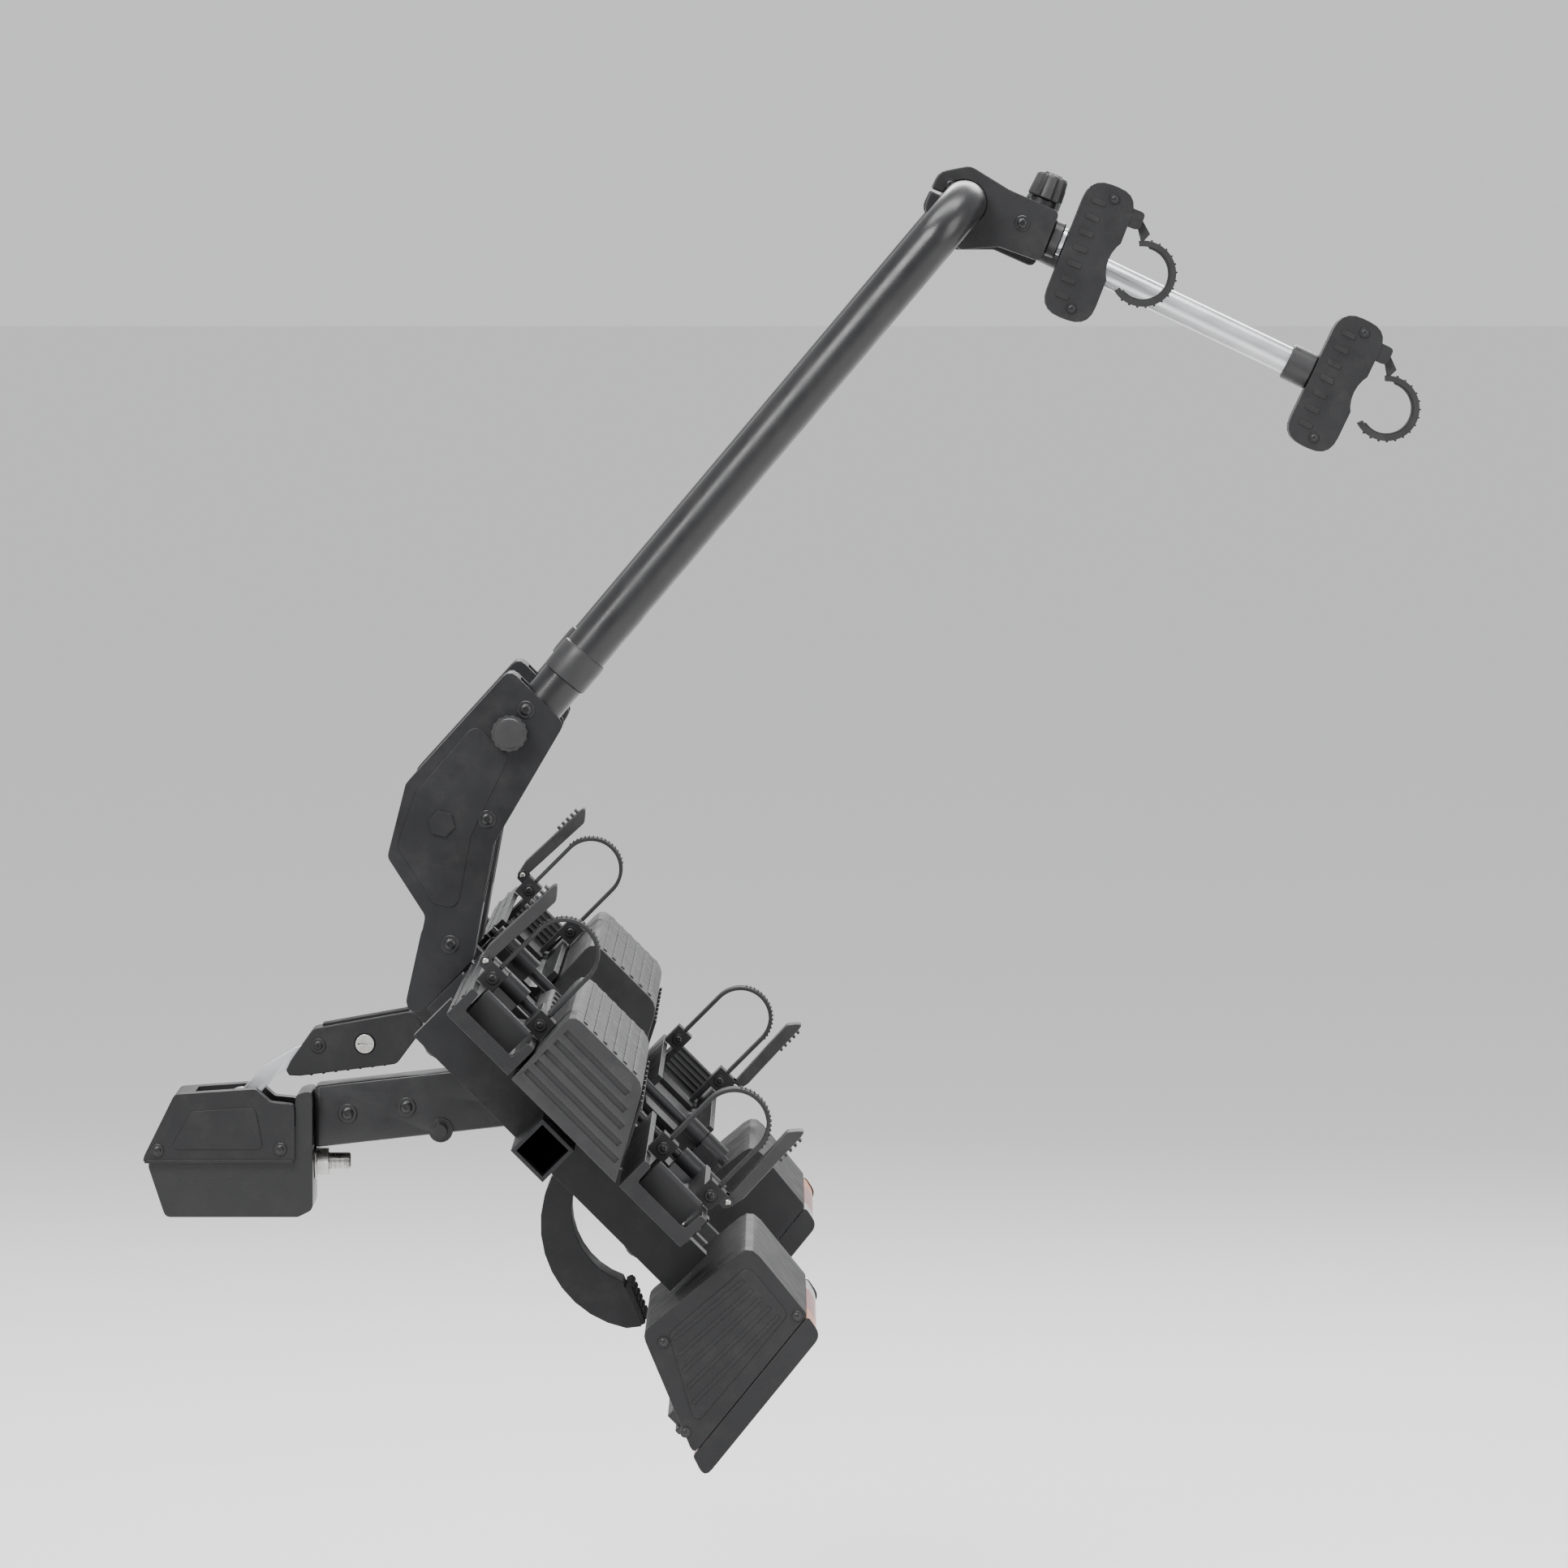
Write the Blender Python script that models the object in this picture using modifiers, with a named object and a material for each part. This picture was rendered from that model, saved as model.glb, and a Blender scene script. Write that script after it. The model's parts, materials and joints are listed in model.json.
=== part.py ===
"""Tow-ball bike rack for two bikes, with folding wings and a tilting platform.

World frame, metres: origin at the centre of the 50 mm tow ball, +X to the rear of the car,
+Y to the car's right, +Z up.  The platform is modelled level in its own frame (u to the rear,
v across, w up) under an empty on the tilt axis, which is turned by the tilt angle.
"""
import math

import bmesh
import bpy
from mathutils import Matrix, Vector

# ---------------------------------------------------------------- driving dimensions
GAP = 0.0003                     # between pieces that touch
BALL_RADIUS = 0.025              # ISO tow ball, 50 mm

TILT_PIVOT = (0.294, 0.0, 0.062)
TILT_ANGLE = math.radians(45)
BEAM_SIDE = 0.050
WALL = 0.003                     # of the beam, rails, frames and covers
HOUSING_WIDTH = 0.078
HOUSING_REAR = 0.100
BEAM_START = (HOUSING_REAR + GAP, 0.0405)

LEVER_HINGE = (0.040, 0.0, 0.050)
LEVER_PIN = 0.005

SHAFT_RADIUS = 0.008
RUNNING = 0.0004                 # radial clearance of a pin in its hole
RAIL_IN = 0.065                  # inner and outer face of a main rail
RAIL_OUT = 0.095
PLATE_IN = 0.140                 # outer plate of an outrigger
PLATE_OUT = 0.152
WING_HINGE = (0.160, 0.045)      # v, w of a wing's fold axis
WING_IN = 0.178
WING_OUT = 0.612

TRAY_U = {"front": -0.089, "rear": 0.095}
TRAY_HALF = 0.033
TRAY_FLOOR = 0.034
TRAY_TOP = 0.058
TRAY_WALL = 0.004
CRADLE_V = 0.530

MAST_HINGE = (-0.219, 0.100)     # u, w
MAST_LEAN = math.radians(4.85)
MAST_HEIGHT = 0.650
MAST_HALF = 0.125
MAST_TUBE = 0.018
MAST_BEND = 0.045

DRUM = (0.112, -0.004)
DRUM_RADIUS = 0.032
PEDAL_CENTRE = (0.124, -0.013)   # of the pedal's inner edge, which stands clear of the drum
PEDAL_INNER = 0.062              # radius of that edge
PEDAL_EDGE = math.radians(296)   # where that edge turns straight towards the tip
PEDAL_HINGE = (0.058, -0.012)
LATCH_HINGE = (-0.060, -0.002)
LATCH_OPEN = math.radians(32)
CATCH_PIN = (0.204, 0.030)       # X, Z of the catch pin on the beam

ARMS = {
    "short": {"v": -0.042, "angle": math.radians(18.7), "bar_end": 0.088},
    "long": {"v": 0.042, "angle": math.radians(14.5), "bar_end": 0.318},
}
ARM_BLOCK_END = 0.075
JAW_DEPTH = 0.042
JAW_HEIGHT = 0.115
LOOP_RADIUS = 0.022
EAR_PIN = 0.0036                 # from the jaw block to the pin of its strap

COLOURS = {                      # base colour, roughness, metallic
    "cover_plastic": ((0.030, 0.030, 0.032), 0.55, 0.0),
    "trim_plastic": ((0.050, 0.050, 0.053), 0.45, 0.0),
    "black_steel": ((0.022, 0.022, 0.024), 0.38, 0.6),
    "black_aluminium": ((0.035, 0.035, 0.038), 0.40, 0.7),
    "bright_aluminium": ((0.62, 0.63, 0.65), 0.30, 1.0),
    "bright_steel": ((0.50, 0.50, 0.52), 0.28, 1.0),
    "liner_plastic": ((0.16, 0.16, 0.17), 0.50, 0.0),
    "grip_rubber": ((0.018, 0.018, 0.019), 0.80, 0.0),
    "strap_rubber": ((0.020, 0.020, 0.022), 0.70, 0.0),
    "lamp_red": ((0.45, 0.010, 0.012), 0.12, 0.0),
}

SIDES = {"left": -1, "right": 1}


# ---------------------------------------------------------------- scene and helpers
def clear_scene():
    for item in list(bpy.data.objects):
        bpy.data.objects.remove(item, do_unlink=True)


def new_collection(name):
    collection = bpy.data.collections.new(name)
    bpy.context.scene.collection.children.link(collection)
    return collection


def make_materials():
    made = {}
    for name, (colour, roughness, metallic) in COLOURS.items():
        made[name] = bpy.data.materials.new(name)
        made[name].use_nodes = True
        shader = made[name].node_tree.nodes["Principled BSDF"]
        shader.inputs["Base Color"].default_value = (*colour, 1.0)
        shader.inputs["Roughness"].default_value = roughness
        shader.inputs["Metallic"].default_value = metallic
    return made


clear_scene()
PARTS = new_collection("bike_rack")
CUTTERS = new_collection("cutters")
MATERIALS = make_materials()


def empty(name, parent=None, location=(0, 0, 0), rotation=(0, 0, 0)):
    frame = bpy.data.objects.new(name, None)
    frame.empty_display_size = 0.03
    PARTS.objects.link(frame)
    frame.parent = parent
    frame.location = location
    frame.rotation_euler = rotation
    return frame


def from_bmesh(bm, name, parent=None, location=(0, 0, 0)):
    mesh = bpy.data.meshes.new(name)
    bm.to_mesh(mesh)
    bm.free()
    made = bpy.data.objects.new(name, mesh)
    PARTS.objects.link(made)
    made.parent = parent
    made.location = location
    return made


def finish(made, slot):
    """Give a piece its material and smooth shading on its round faces."""
    made.data.materials.clear()
    made.data.materials.append(MATERIALS[slot])
    made.data.shade_smooth()
    made.data.set_sharp_from_angle(angle=math.radians(35))
    return made


def box(name, low, high, parent=None, bevel=0.0):
    """A box between two corners, with its scale applied."""
    bm = bmesh.new()
    size = [b - a for a, b in zip(low, high)]
    middle = [(a + b) / 2 for a, b in zip(low, high)]
    bmesh.ops.create_cube(bm, size=1.0, matrix=Matrix.Translation(middle) @ Matrix.Diagonal((*size, 1)))
    made = from_bmesh(bm, name, parent)
    if bevel:
        round_edges(made, bevel)
    return made


def rod(name, start, end, radius, parent=None, sides=20, end_radius=None):
    """A round bar or cone between two points."""
    start, end = Vector(start), Vector(end)
    along = end - start
    turn = Vector((0, 0, 1)).rotation_difference(along).to_matrix().to_4x4()
    bm = bmesh.new()
    bmesh.ops.create_cone(
        bm, cap_ends=True, segments=sides, radius1=radius,
        radius2=radius if end_radius is None else end_radius, depth=along.length,
        matrix=Matrix.Translation((start + end) / 2) @ turn,
    )
    return from_bmesh(bm, name, parent)


def ball(name, centre, radius, parent=None):
    bm = bmesh.new()
    bmesh.ops.create_uvsphere(
        bm, u_segments=24, v_segments=14, radius=radius, matrix=Matrix.Translation(centre)
    )
    return from_bmesh(bm, name, parent)


def fillet(corners, radius, steps=3):
    """The outline with each corner rounded; a corner may carry its own radius as a third value."""
    points = []
    count = len(corners)
    for i, corner in enumerate(corners):
        here = Vector(corner[:2])
        size = corner[2] if len(corner) > 2 else radius
        before = Vector(corners[i - 1][:2]) - here
        after = Vector(corners[(i + 1) % count][:2]) - here
        if size <= 0:
            points.append(here)
            continue
        half = before.angle(after) / 2
        cut = min(size / math.tan(half), 0.45 * before.length, 0.45 * after.length)
        start = here + before.normalized() * cut
        end = here + after.normalized() * cut
        for k in range(steps + 1):
            t = k / steps
            points.append(start * (1 - t) ** 2 + here * (2 * t * (1 - t)) + end * t ** 2)
    return points


def arc(centre, radius, start, end, steps):
    """Points of an arc, angles in degrees."""
    for k in range(steps + 1):
        angle = math.radians(start + (end - start) * k / steps)
        yield (centre[0] + radius * math.cos(angle), centre[1] + radius * math.sin(angle), 0)


def to_mesh(curve_object):
    """Replace a curve object by its welded mesh."""
    bpy.context.view_layer.update()
    evaluated = curve_object.evaluated_get(bpy.context.evaluated_depsgraph_get())
    mesh = bpy.data.meshes.new_from_object(evaluated)
    bm = bmesh.new()
    bm.from_mesh(mesh)
    bmesh.ops.remove_doubles(bm, verts=bm.verts, dist=0.00001)
    bmesh.ops.recalc_face_normals(bm, faces=bm.faces)
    bm.to_mesh(mesh)
    bm.free()
    made = bpy.data.objects.new(curve_object.name, mesh)
    PARTS.objects.link(made)
    made.matrix_world = curve_object.matrix_world
    name = curve_object.name
    bpy.data.objects.remove(curve_object, do_unlink=True)
    made.name = name
    return made


def prism(name, outline, low, high, parent=None, radius=0.0, axis="v", steps=3):
    """A flat outline pulled along one axis: (u, w) along v, or (v, w) along u, or (u, v) along w."""
    curve = bpy.data.curves.new(name, "CURVE")
    curve.dimensions = "2D"
    curve.fill_mode = "BOTH"
    curve.extrude = (high - low) / 2
    spline = curve.splines.new("POLY")
    points = fillet(outline, radius, steps)
    spline.points.add(len(points) - 1)
    for target, point in zip(spline.points, points):
        target.co = (point[0], point[1], 0, 1)
    spline.use_cyclic_u = True
    made = bpy.data.objects.new(name, curve)
    PARTS.objects.link(made)
    made = to_mesh(made)
    middle = (low + high) / 2
    turns = {
        "v": Matrix.Translation((0, middle, 0)) @ Matrix.Rotation(math.radians(90), 4, "X"),
        "u": Matrix.Translation((middle, 0, 0))
        @ Matrix.Rotation(math.radians(90), 4, "Z") @ Matrix.Rotation(math.radians(90), 4, "X"),
        "w": Matrix.Translation((0, 0, middle)),
    }
    made.data.transform(turns[axis])
    made.parent = parent
    return made


def pipe(name, points, radius, parent=None, resolution=4):
    """A round tube with filled ends along a polyline."""
    curve = bpy.data.curves.new(name, "CURVE")
    curve.dimensions = "3D"
    curve.bevel_depth = radius
    curve.bevel_resolution = resolution
    curve.use_fill_caps = True
    spline = curve.splines.new("POLY")
    spline.points.add(len(points) - 1)
    for target, point in zip(spline.points, points):
        target.co = (*point, 1)
    made = bpy.data.objects.new(name, curve)
    PARTS.objects.link(made)
    made = to_mesh(made)
    made.parent = parent
    return made


def turned(name, profile, parent=None, steps=24):
    """A profile in the XZ plane spun about Z; it runs down its outer side."""
    bm = bmesh.new()
    verts = [bm.verts.new((x, 0, z)) for x, z in profile]
    for a, b in zip(verts, verts[1:]):
        bm.edges.new((a, b))
    made = from_bmesh(bm, name, parent)
    screw = made.modifiers.new("Screw", "SCREW")
    screw.steps = steps
    screw.render_steps = steps
    screw.use_merge_vertices = True
    screw.merge_threshold = 0.00005
    return made


def round_edges(made, width, segments=2):
    bevel = made.modifiers.new("Bevel", "BEVEL")
    bevel.width = width
    bevel.segments = segments
    bevel.limit_method = "ANGLE"
    bevel.angle_limit = math.radians(40)


def combine(made, other, operation):
    """Cut another shape from a piece, or join it on; the other shape becomes a hidden cutter."""
    other.name = f"{made.name}.{operation.lower()}.{len(made.modifiers)}"
    other.display_type = "WIRE"
    other.hide_render = True
    PARTS.objects.unlink(other)
    CUTTERS.objects.link(other)
    boolean = made.modifiers.new(operation.title(), "BOOLEAN")
    boolean.operation = operation
    boolean.solver = "EXACT"
    boolean.object = other
    return made


def cut(made, *others):
    for other in others:
        combine(made, other, "DIFFERENCE")
    return made


def join(made, *others):
    for other in others:
        combine(made, other, "UNION")
    return made


# ---------------------------------------------------------------- coupling on the tow ball
def make_coupling():
    half = HOUSING_WIDTH / 2
    housing = prism(
        "coupling_housing",
        [(-0.034, 0.002), (-0.018, 0.034), (0.086, 0.034, 0), (0.086, 0.060), (HOUSING_REAR, 0.064),
         (HOUSING_REAR, -0.034), (0.088, -0.040), (-0.020, -0.040)],
        -half, half, radius=0.006,
    )
    join(housing, rod("dome", (0.004, 0, 0.030), (0.004, 0, 0.040), 0.020, sides=24))
    for side in (-1, 1):
        inner, outer = sorted((side * 0.0155, side * 0.0235))
        join(housing, prism("lug", [(0.024, 0.030), (0.029, 0.060), (0.051, 0.060), (0.056, 0.030)],
                            inner, outer, radius=0.006))
    join(housing, rod("lever_pin", (0.040, -0.020, 0.050), (0.040, 0.020, 0.050), LEVER_PIN, sides=16))
    socket = ball("socket", (0, 0, 0), BALL_RADIUS + 0.004)
    cut(housing, socket, rod("mouth", (0, 0, -0.050), (0, 0, 0), BALL_RADIUS + 0.004, sides=24))
    cut(housing, box("jaw_slot", (0.0, -0.0168, -0.0330), (0.0845, 0.0168, -0.0030)))
    finish(housing, "black_steel")

    outer, inner = BALL_RADIUS + 0.0036, BALL_RADIUS + 0.0004
    rise = [math.radians(90 * k / 8) for k in range(9)]
    profile = [(outer * math.sin(a), outer * math.cos(a)) for a in rise]
    profile += [(inner * math.sin(a), inner * math.cos(a)) for a in reversed(rise)]
    finish(turned("ball_cup", profile), "liner_plastic")

    cover = prism(
        "coupling_cover",
        [(-0.0400, 0.004), (-0.012, 0.0605), (0.054, 0.0650), (0.066, 0.054), (0.0857, 0.052),
         (0.0857, 0.004)],
        -half - 0.006, half + 0.006, radius=0.005,
    )
    hollow = prism(
        "hollow",
        [(-0.0365, -0.001), (-0.0365, 0.004), (-0.010, 0.0565), (0.052, 0.0610), (0.062, 0.0505),
         (0.0827, 0.0485), (0.0827, 0.0343, 0), (0.0900, 0.0343, 0), (0.0900, -0.001)],
        -half - GAP, half + GAP, radius=0.003,
    )
    cut(cover, hollow, box("lever_slot", (0.004, -0.0245, 0.040), (0.0870, 0.0245, 0.080)))
    finish(cover, "cover_plastic")

    adjuster = rod("adjuster_nut", (HOUSING_REAR + GAP, 0, 0.0025), (0.112, 0, 0.0025), 0.0125, sides=6)
    join(adjuster, rod("stud", (0.108, 0, 0.0025), (0.130, 0, 0.0025), 0.0075, sides=16))
    finish(adjuster, "bright_steel")


def make_beam():
    start, pivot = Vector((BEAM_START[0], 0, BEAM_START[1])), Vector(TILT_PIVOT)
    slope = math.atan2(pivot.z - start.z, pivot.x - start.x)
    half = BEAM_SIDE / 2
    rise = half / math.cos(slope)
    beam = prism(
        "main_beam",
        [(start.x, start.z - rise), (pivot.x, pivot.z - rise), (pivot.x, pivot.z + rise),
         (start.x, start.z + rise)],
        -half, half,
    )
    round_edges(beam, 0.004)
    join(beam, rod("eye", (pivot.x, -0.027, pivot.z), (pivot.x, 0.027, pivot.z), half, sides=32))
    bore_end = start.x + 0.120
    inner = rise - WALL
    lift = 0.120 * math.tan(slope)
    cut(beam, prism(
        "bore",
        [(start.x - 0.01, start.z - inner), (bore_end, start.z + lift - inner),
         (bore_end, start.z + lift + inner), (start.x - 0.01, start.z + inner)],
        -half + WALL, half - WALL,
    ))
    x, z = CATCH_PIN
    join(beam, rod("catch_pin", (x, -0.040, z), (x, 0.040, z), 0.0055, sides=16),
         rod("catch_sleeve", (x, -0.0275, z), (x, 0.0275, z), 0.010, sides=20))
    cut(beam, rod("eye_hole", (pivot.x, -0.05, pivot.z), (pivot.x, 0.05, pivot.z),
                  SHAFT_RADIUS + RUNNING, sides=32))
    finish(beam, "black_steel")

    x, _, z = TILT_PIVOT
    shaft = rod("tilt_shaft", (x, -0.0990, z), (x, 0.0990, z), SHAFT_RADIUS, sides=32)
    for side in (-1, 1):
        join(shaft, rod("spacer", (x, side * 0.0275, z), (x, side * (RAIL_IN - GAP), z), 0.014, sides=24))
        join(shaft, rod("head", (x, side * (RAIL_OUT + GAP), z), (x, side * 0.1000, z), 0.013, sides=6))
    finish(shaft, "bright_steel")


def make_lever():
    """Cam lever: hub on the pin, a thin neck and a large grip; and the key cylinder in the grip."""
    frame = empty("lever_axis", location=LEVER_HINGE)
    x0, _, z0 = LEVER_HINGE

    def local(points):
        return [(p[0] - x0, p[1] - z0, *p[2:]) for p in points]

    arm = prism(
        "lever_arm",
        local([(0.034, 0.054), (0.060, 0.082), (0.084, 0.096), (0.116, 0.104), (0.116, 0.094),
               (0.088, 0.086), (0.068, 0.073), (0.046, 0.046)]),
        -0.009, 0.009, frame, radius=0.003,
    )
    join(arm, rod("hub", (0, -0.0150, 0), (0, 0.0150, 0), 0.0125, frame, sides=24))
    cut(arm, rod("hub_hole", (0, -0.03, 0), (0, 0.03, 0), LEVER_PIN + RUNNING, frame, sides=24))
    finish(arm, "bright_aluminium")

    grip = prism(
        "lever_grip",
        local([(0.071, 0.0715), (0.100, 0.1125), (0.182, 0.1270), (0.190, 0.113), (0.168, 0.0835)]),
        -0.019, 0.019, frame, radius=0.008,
    )
    pocket = prism(
        "pocket",
        local([(0.050, 0.0700, 0), (0.084, 0.1003, 0), (0.1163, 0.1083, 0), (0.1163, 0.0900, 0),
               (0.088, 0.0817, 0), (0.0705, 0.0705, 0), (0.060, 0.058, 0)]),
        -0.0093, 0.0093, frame,
    )
    lock_hole = rod("lock_hole", (0.142, 0, 0.100), (0.142, -0.03, 0.100), 0.0083, sides=24)
    lock_hole.data.transform(Matrix.Translation((-x0, 0.0, -z0)))
    lock_hole.parent = frame
    cut(grip, pocket, lock_hole)
    finish(grip, "cover_plastic")

    lock = rod("lever_lock", (0, -0.004, 0), (0, -0.0205, 0), 0.0078, empty(
        "lock_axis", frame, (0.142 - x0, 0, 0.100 - z0)), sides=24)
    cut(lock, box("keyway", (-0.0055, -0.0300, -0.0008), (0.0055, -0.0175, 0.0008), lock.parent))
    finish(lock, "bright_steel")


def make_jaw():
    jaw = box("clamp_jaw", (0.006, -0.0163, -0.0325), (0.074, 0.0163, -0.0035), bevel=0.0015)
    cut(jaw, ball("seat", (0, 0, 0), BALL_RADIUS + 0.0004),
        rod("neck_space", (0, 0, -0.050), (0, 0, -0.012), 0.0165, sides=24))
    finish(jaw, "bright_steel")


# ---------------------------------------------------------------- tilting chassis
def make_rails(tilt):
    for name, side in SIDES.items():
        low, high = sorted((side * RAIL_IN, side * RAIL_OUT))
        rail = prism(
            f"main_rail_{name}",
            [(-0.1755, 0.034), (-0.136, -0.028), (-0.050, -0.030), (0.060, -0.024), (0.150, -0.020),
             (0.150, 0.026), (0.060, 0.034)],
            low, high, tilt, radius=0.008,
        )
        cut(rail, prism(
            "rail_bore",
            [(-0.150, 0.030, 0), (-0.134, -0.024), (-0.050, -0.027), (0.060, -0.021), (0.170, -0.017),
             (0.170, 0.023), (0.060, 0.031)],
            low + WALL, high - WALL, tilt, radius=0.005))
        cut(rail, rod("shaft_hole", (0, low - 0.01, 0), (0, high + 0.01, 0), SHAFT_RADIUS + RUNNING,
                      tilt, sides=32))
        u, w = PEDAL_HINGE
        cut(rail, rod("pedal_hole", (u, low - 0.01, w), (u, high + 0.01, w), 0.0054, tilt, sides=24))
        if name == "right":
            u, w = LATCH_HINGE
            join(rail, rod("latch_pin", (u, 0.0310, w), (u, 0.0670, w), 0.005, tilt, sides=20))
        finish(rail, "black_steel")


def make_cross_members(tilt):
    reach = RAIL_IN - GAP
    bar = box("front_cross_bar", (-0.096, -reach, 0.0205), (-0.060, reach, 0.0330), tilt, bevel=0.002)
    finish(bar, "black_steel")
    u, w = DRUM
    drum = rod("rear_cross_tube", (u, -reach, w), (u, reach, w), DRUM_RADIUS, tilt, sides=32)
    cut(drum, rod("drum_bore", (u, -0.08, w), (u, 0.08, w), DRUM_RADIUS - 0.004, tilt, sides=28))
    finish(drum, "black_steel")


def make_outrigger(tilt, name, side):
    """Side plate on two stubs, with the fixed knuckles and the rod of the wing's hinge."""
    v, w = WING_HINGE
    low, high = sorted((side * PLATE_IN, side * PLATE_OUT))
    plate = prism(
        f"outrigger_{name}",
        [(-0.118, 0.000), (-0.100, -0.018), (0.130, -0.018), (0.148, -0.004), (0.148, 0.045),
         (0.1265, 0.045, 0), (0.1265, 0.030), (0.116, 0.020), (-0.086, 0.020), (-0.0965, 0.030),
         (-0.0965, 0.045, 0), (-0.118, 0.045)],
        low, high, tilt, radius=0.004,
    )
    for start, end in ((-0.105, -0.075), (0.066, 0.096)):
        near, far = sorted((side * (RAIL_OUT + GAP), side * (PLATE_IN + 0.002)))
        join(plate, box("stub", (start, near, -0.014), (end, far, 0.014), tilt))
    for start, end in ((-0.118, -0.096), (0.126, 0.148)):
        join(plate, rod("knuckle", (start, side * v, w), (end, side * v, w), 0.0105, tilt, sides=20))
    join(plate, rod("hinge_rod", (-0.123, side * v, w), (0.153, side * v, w), 0.005, tilt, sides=20))
    finish(plate, "black_aluminium")


def make_mast_bracket(tilt, name, side):
    """Upright foot of the mast: two cheeks and a front wall round a slot, with the fold pin."""
    middle = side * MAST_HALF
    low, high = sorted((side * (RAIL_OUT + GAP), side * 0.1540))
    u, w = MAST_HINGE
    bracket = prism(
        f"mast_bracket_{name}",
        [(-0.231, 0.050), (-0.262, 0.102), (-0.268, 0.226), (-0.206, 0.226), (-0.178, 0.118),
         (-0.124, 0.040), (-0.124, -0.020), (-0.134, -0.026), (-0.176, 0.038)],
        low, high, tilt, radius=0.008,
    )
    slot = prism(
        "slot",
        [(-0.2515, 0.076, 0.006), (-0.2565, 0.240, 0), (-0.100, 0.240, 0), (-0.100, 0.076, 0)],
        middle - 0.0205, middle + 0.0205, tilt,
    )
    cut(bracket, slot)
    join(bracket, rod("fold_pin", (u, low + 0.002, w), (u, high - 0.002, w), 0.006, tilt, sides=20),
         rod("pin_head", (u, side * 0.150, w), (u, side * 0.158, w), 0.011, tilt, sides=6))
    if name == "left":
        cut(bracket, rod("lock_hole", (-0.232, -0.170, 0.190), (-0.232, -0.140, 0.190), 0.0063, tilt,
                         sides=24))
    finish(bracket, "black_aluminium")


def make_mast_lock(tilt):
    """Spring pin with a pull knob that locks the mast upright."""
    frame = empty("mast_lock_axis", tilt, (-0.232, 0, 0.190))
    pin = rod("mast_lock_pin", (0, -0.1470, 0), (0, -0.168, 0), 0.006, frame, sides=20)
    join(pin, rod("pull_knob", (0, -0.1545, 0), (0, -0.172, 0), 0.0125, frame, sides=20,
                  end_radius=0.0145))
    finish(pin, "trim_plastic")


def make_centre_cover(tilt):
    """Moulded cover over the middle of the chassis, open below."""
    cover = prism(
        "centre_cover",
        [(-0.058, 0.0345), (-0.052, 0.050), (0.058, 0.050), (0.064, 0.0345)],
        -0.136, 0.136, tilt, radius=0.004,
    )
    inside = prism(
        "inside", [(-0.0550, 0.0300, 0), (-0.0500, 0.0470), (0.0560, 0.0470), (0.0610, 0.0300, 0)],
        -0.133, 0.133, tilt, radius=0.003,
    )
    cut(cover, inside)
    for k in range(5):
        v = -0.100 + 0.050 * k
        join(cover, box("rib", (-0.050, v - 0.004, 0.0490), (0.056, v + 0.004, 0.0520), tilt))
    finish(cover, "cover_plastic")


def make_plate_holder(tilt):
    """Blank number-plate panel on two arms from the rails, with the socket for the lamp lead."""
    panel = box("plate_holder", (0.2500, -0.262, -0.104), (0.2550, 0.262, 0.012), tilt, bevel=0.001)
    for low, high in (((0.2380, -0.258, 0.002), (0.2520, 0.258, 0.008)),
                      ((0.2380, -0.258, -0.100), (0.2520, 0.258, -0.094))):
        join(panel, box("frame_edge", low, high, tilt))
    for side in (-1, 1):
        near, far = sorted((side * 0.068, side * 0.092))
        join(panel, box("arm", (0.1503, near, -0.018), (0.2520, far, 0.006), tilt))
    join(panel, rod("lead_gland", (0.200, 0.091, -0.006), (0.200, 0.112, -0.006), 0.011, tilt, sides=20))
    cut(panel, rod("gland_mouth", (0.200, 0.098, -0.006), (0.200, 0.120, -0.006), 0.0055, tilt, sides=16))
    finish(panel, "trim_plastic")


def make_latch(tilt):
    """Hook that holds the level platform on the beam's catch pin; it is shown swung clear."""
    frame = empty("latch_axis", tilt, (LATCH_HINGE[0], 0, LATCH_HINGE[1]), (0, -LATCH_OPEN, 0))
    hook = prism(
        "tilt_latch",
        [(-0.010, 0.006), (-0.014, -0.022), (-0.012, -0.0375), (-0.034, -0.0375, 0.001), (-0.034, -0.0450, 0.002),
         (0.004, -0.0450), (0.012, -0.030), (0.012, 0.006), (0.0, 0.013)],
        0.0300, 0.0400, frame, radius=0.003,
    )
    cut(hook, rod("hook_hole", (0, 0.0, 0), (0, 0.06, 0), 0.0054, frame, sides=24))
    finish(hook, "bright_steel")


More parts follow.
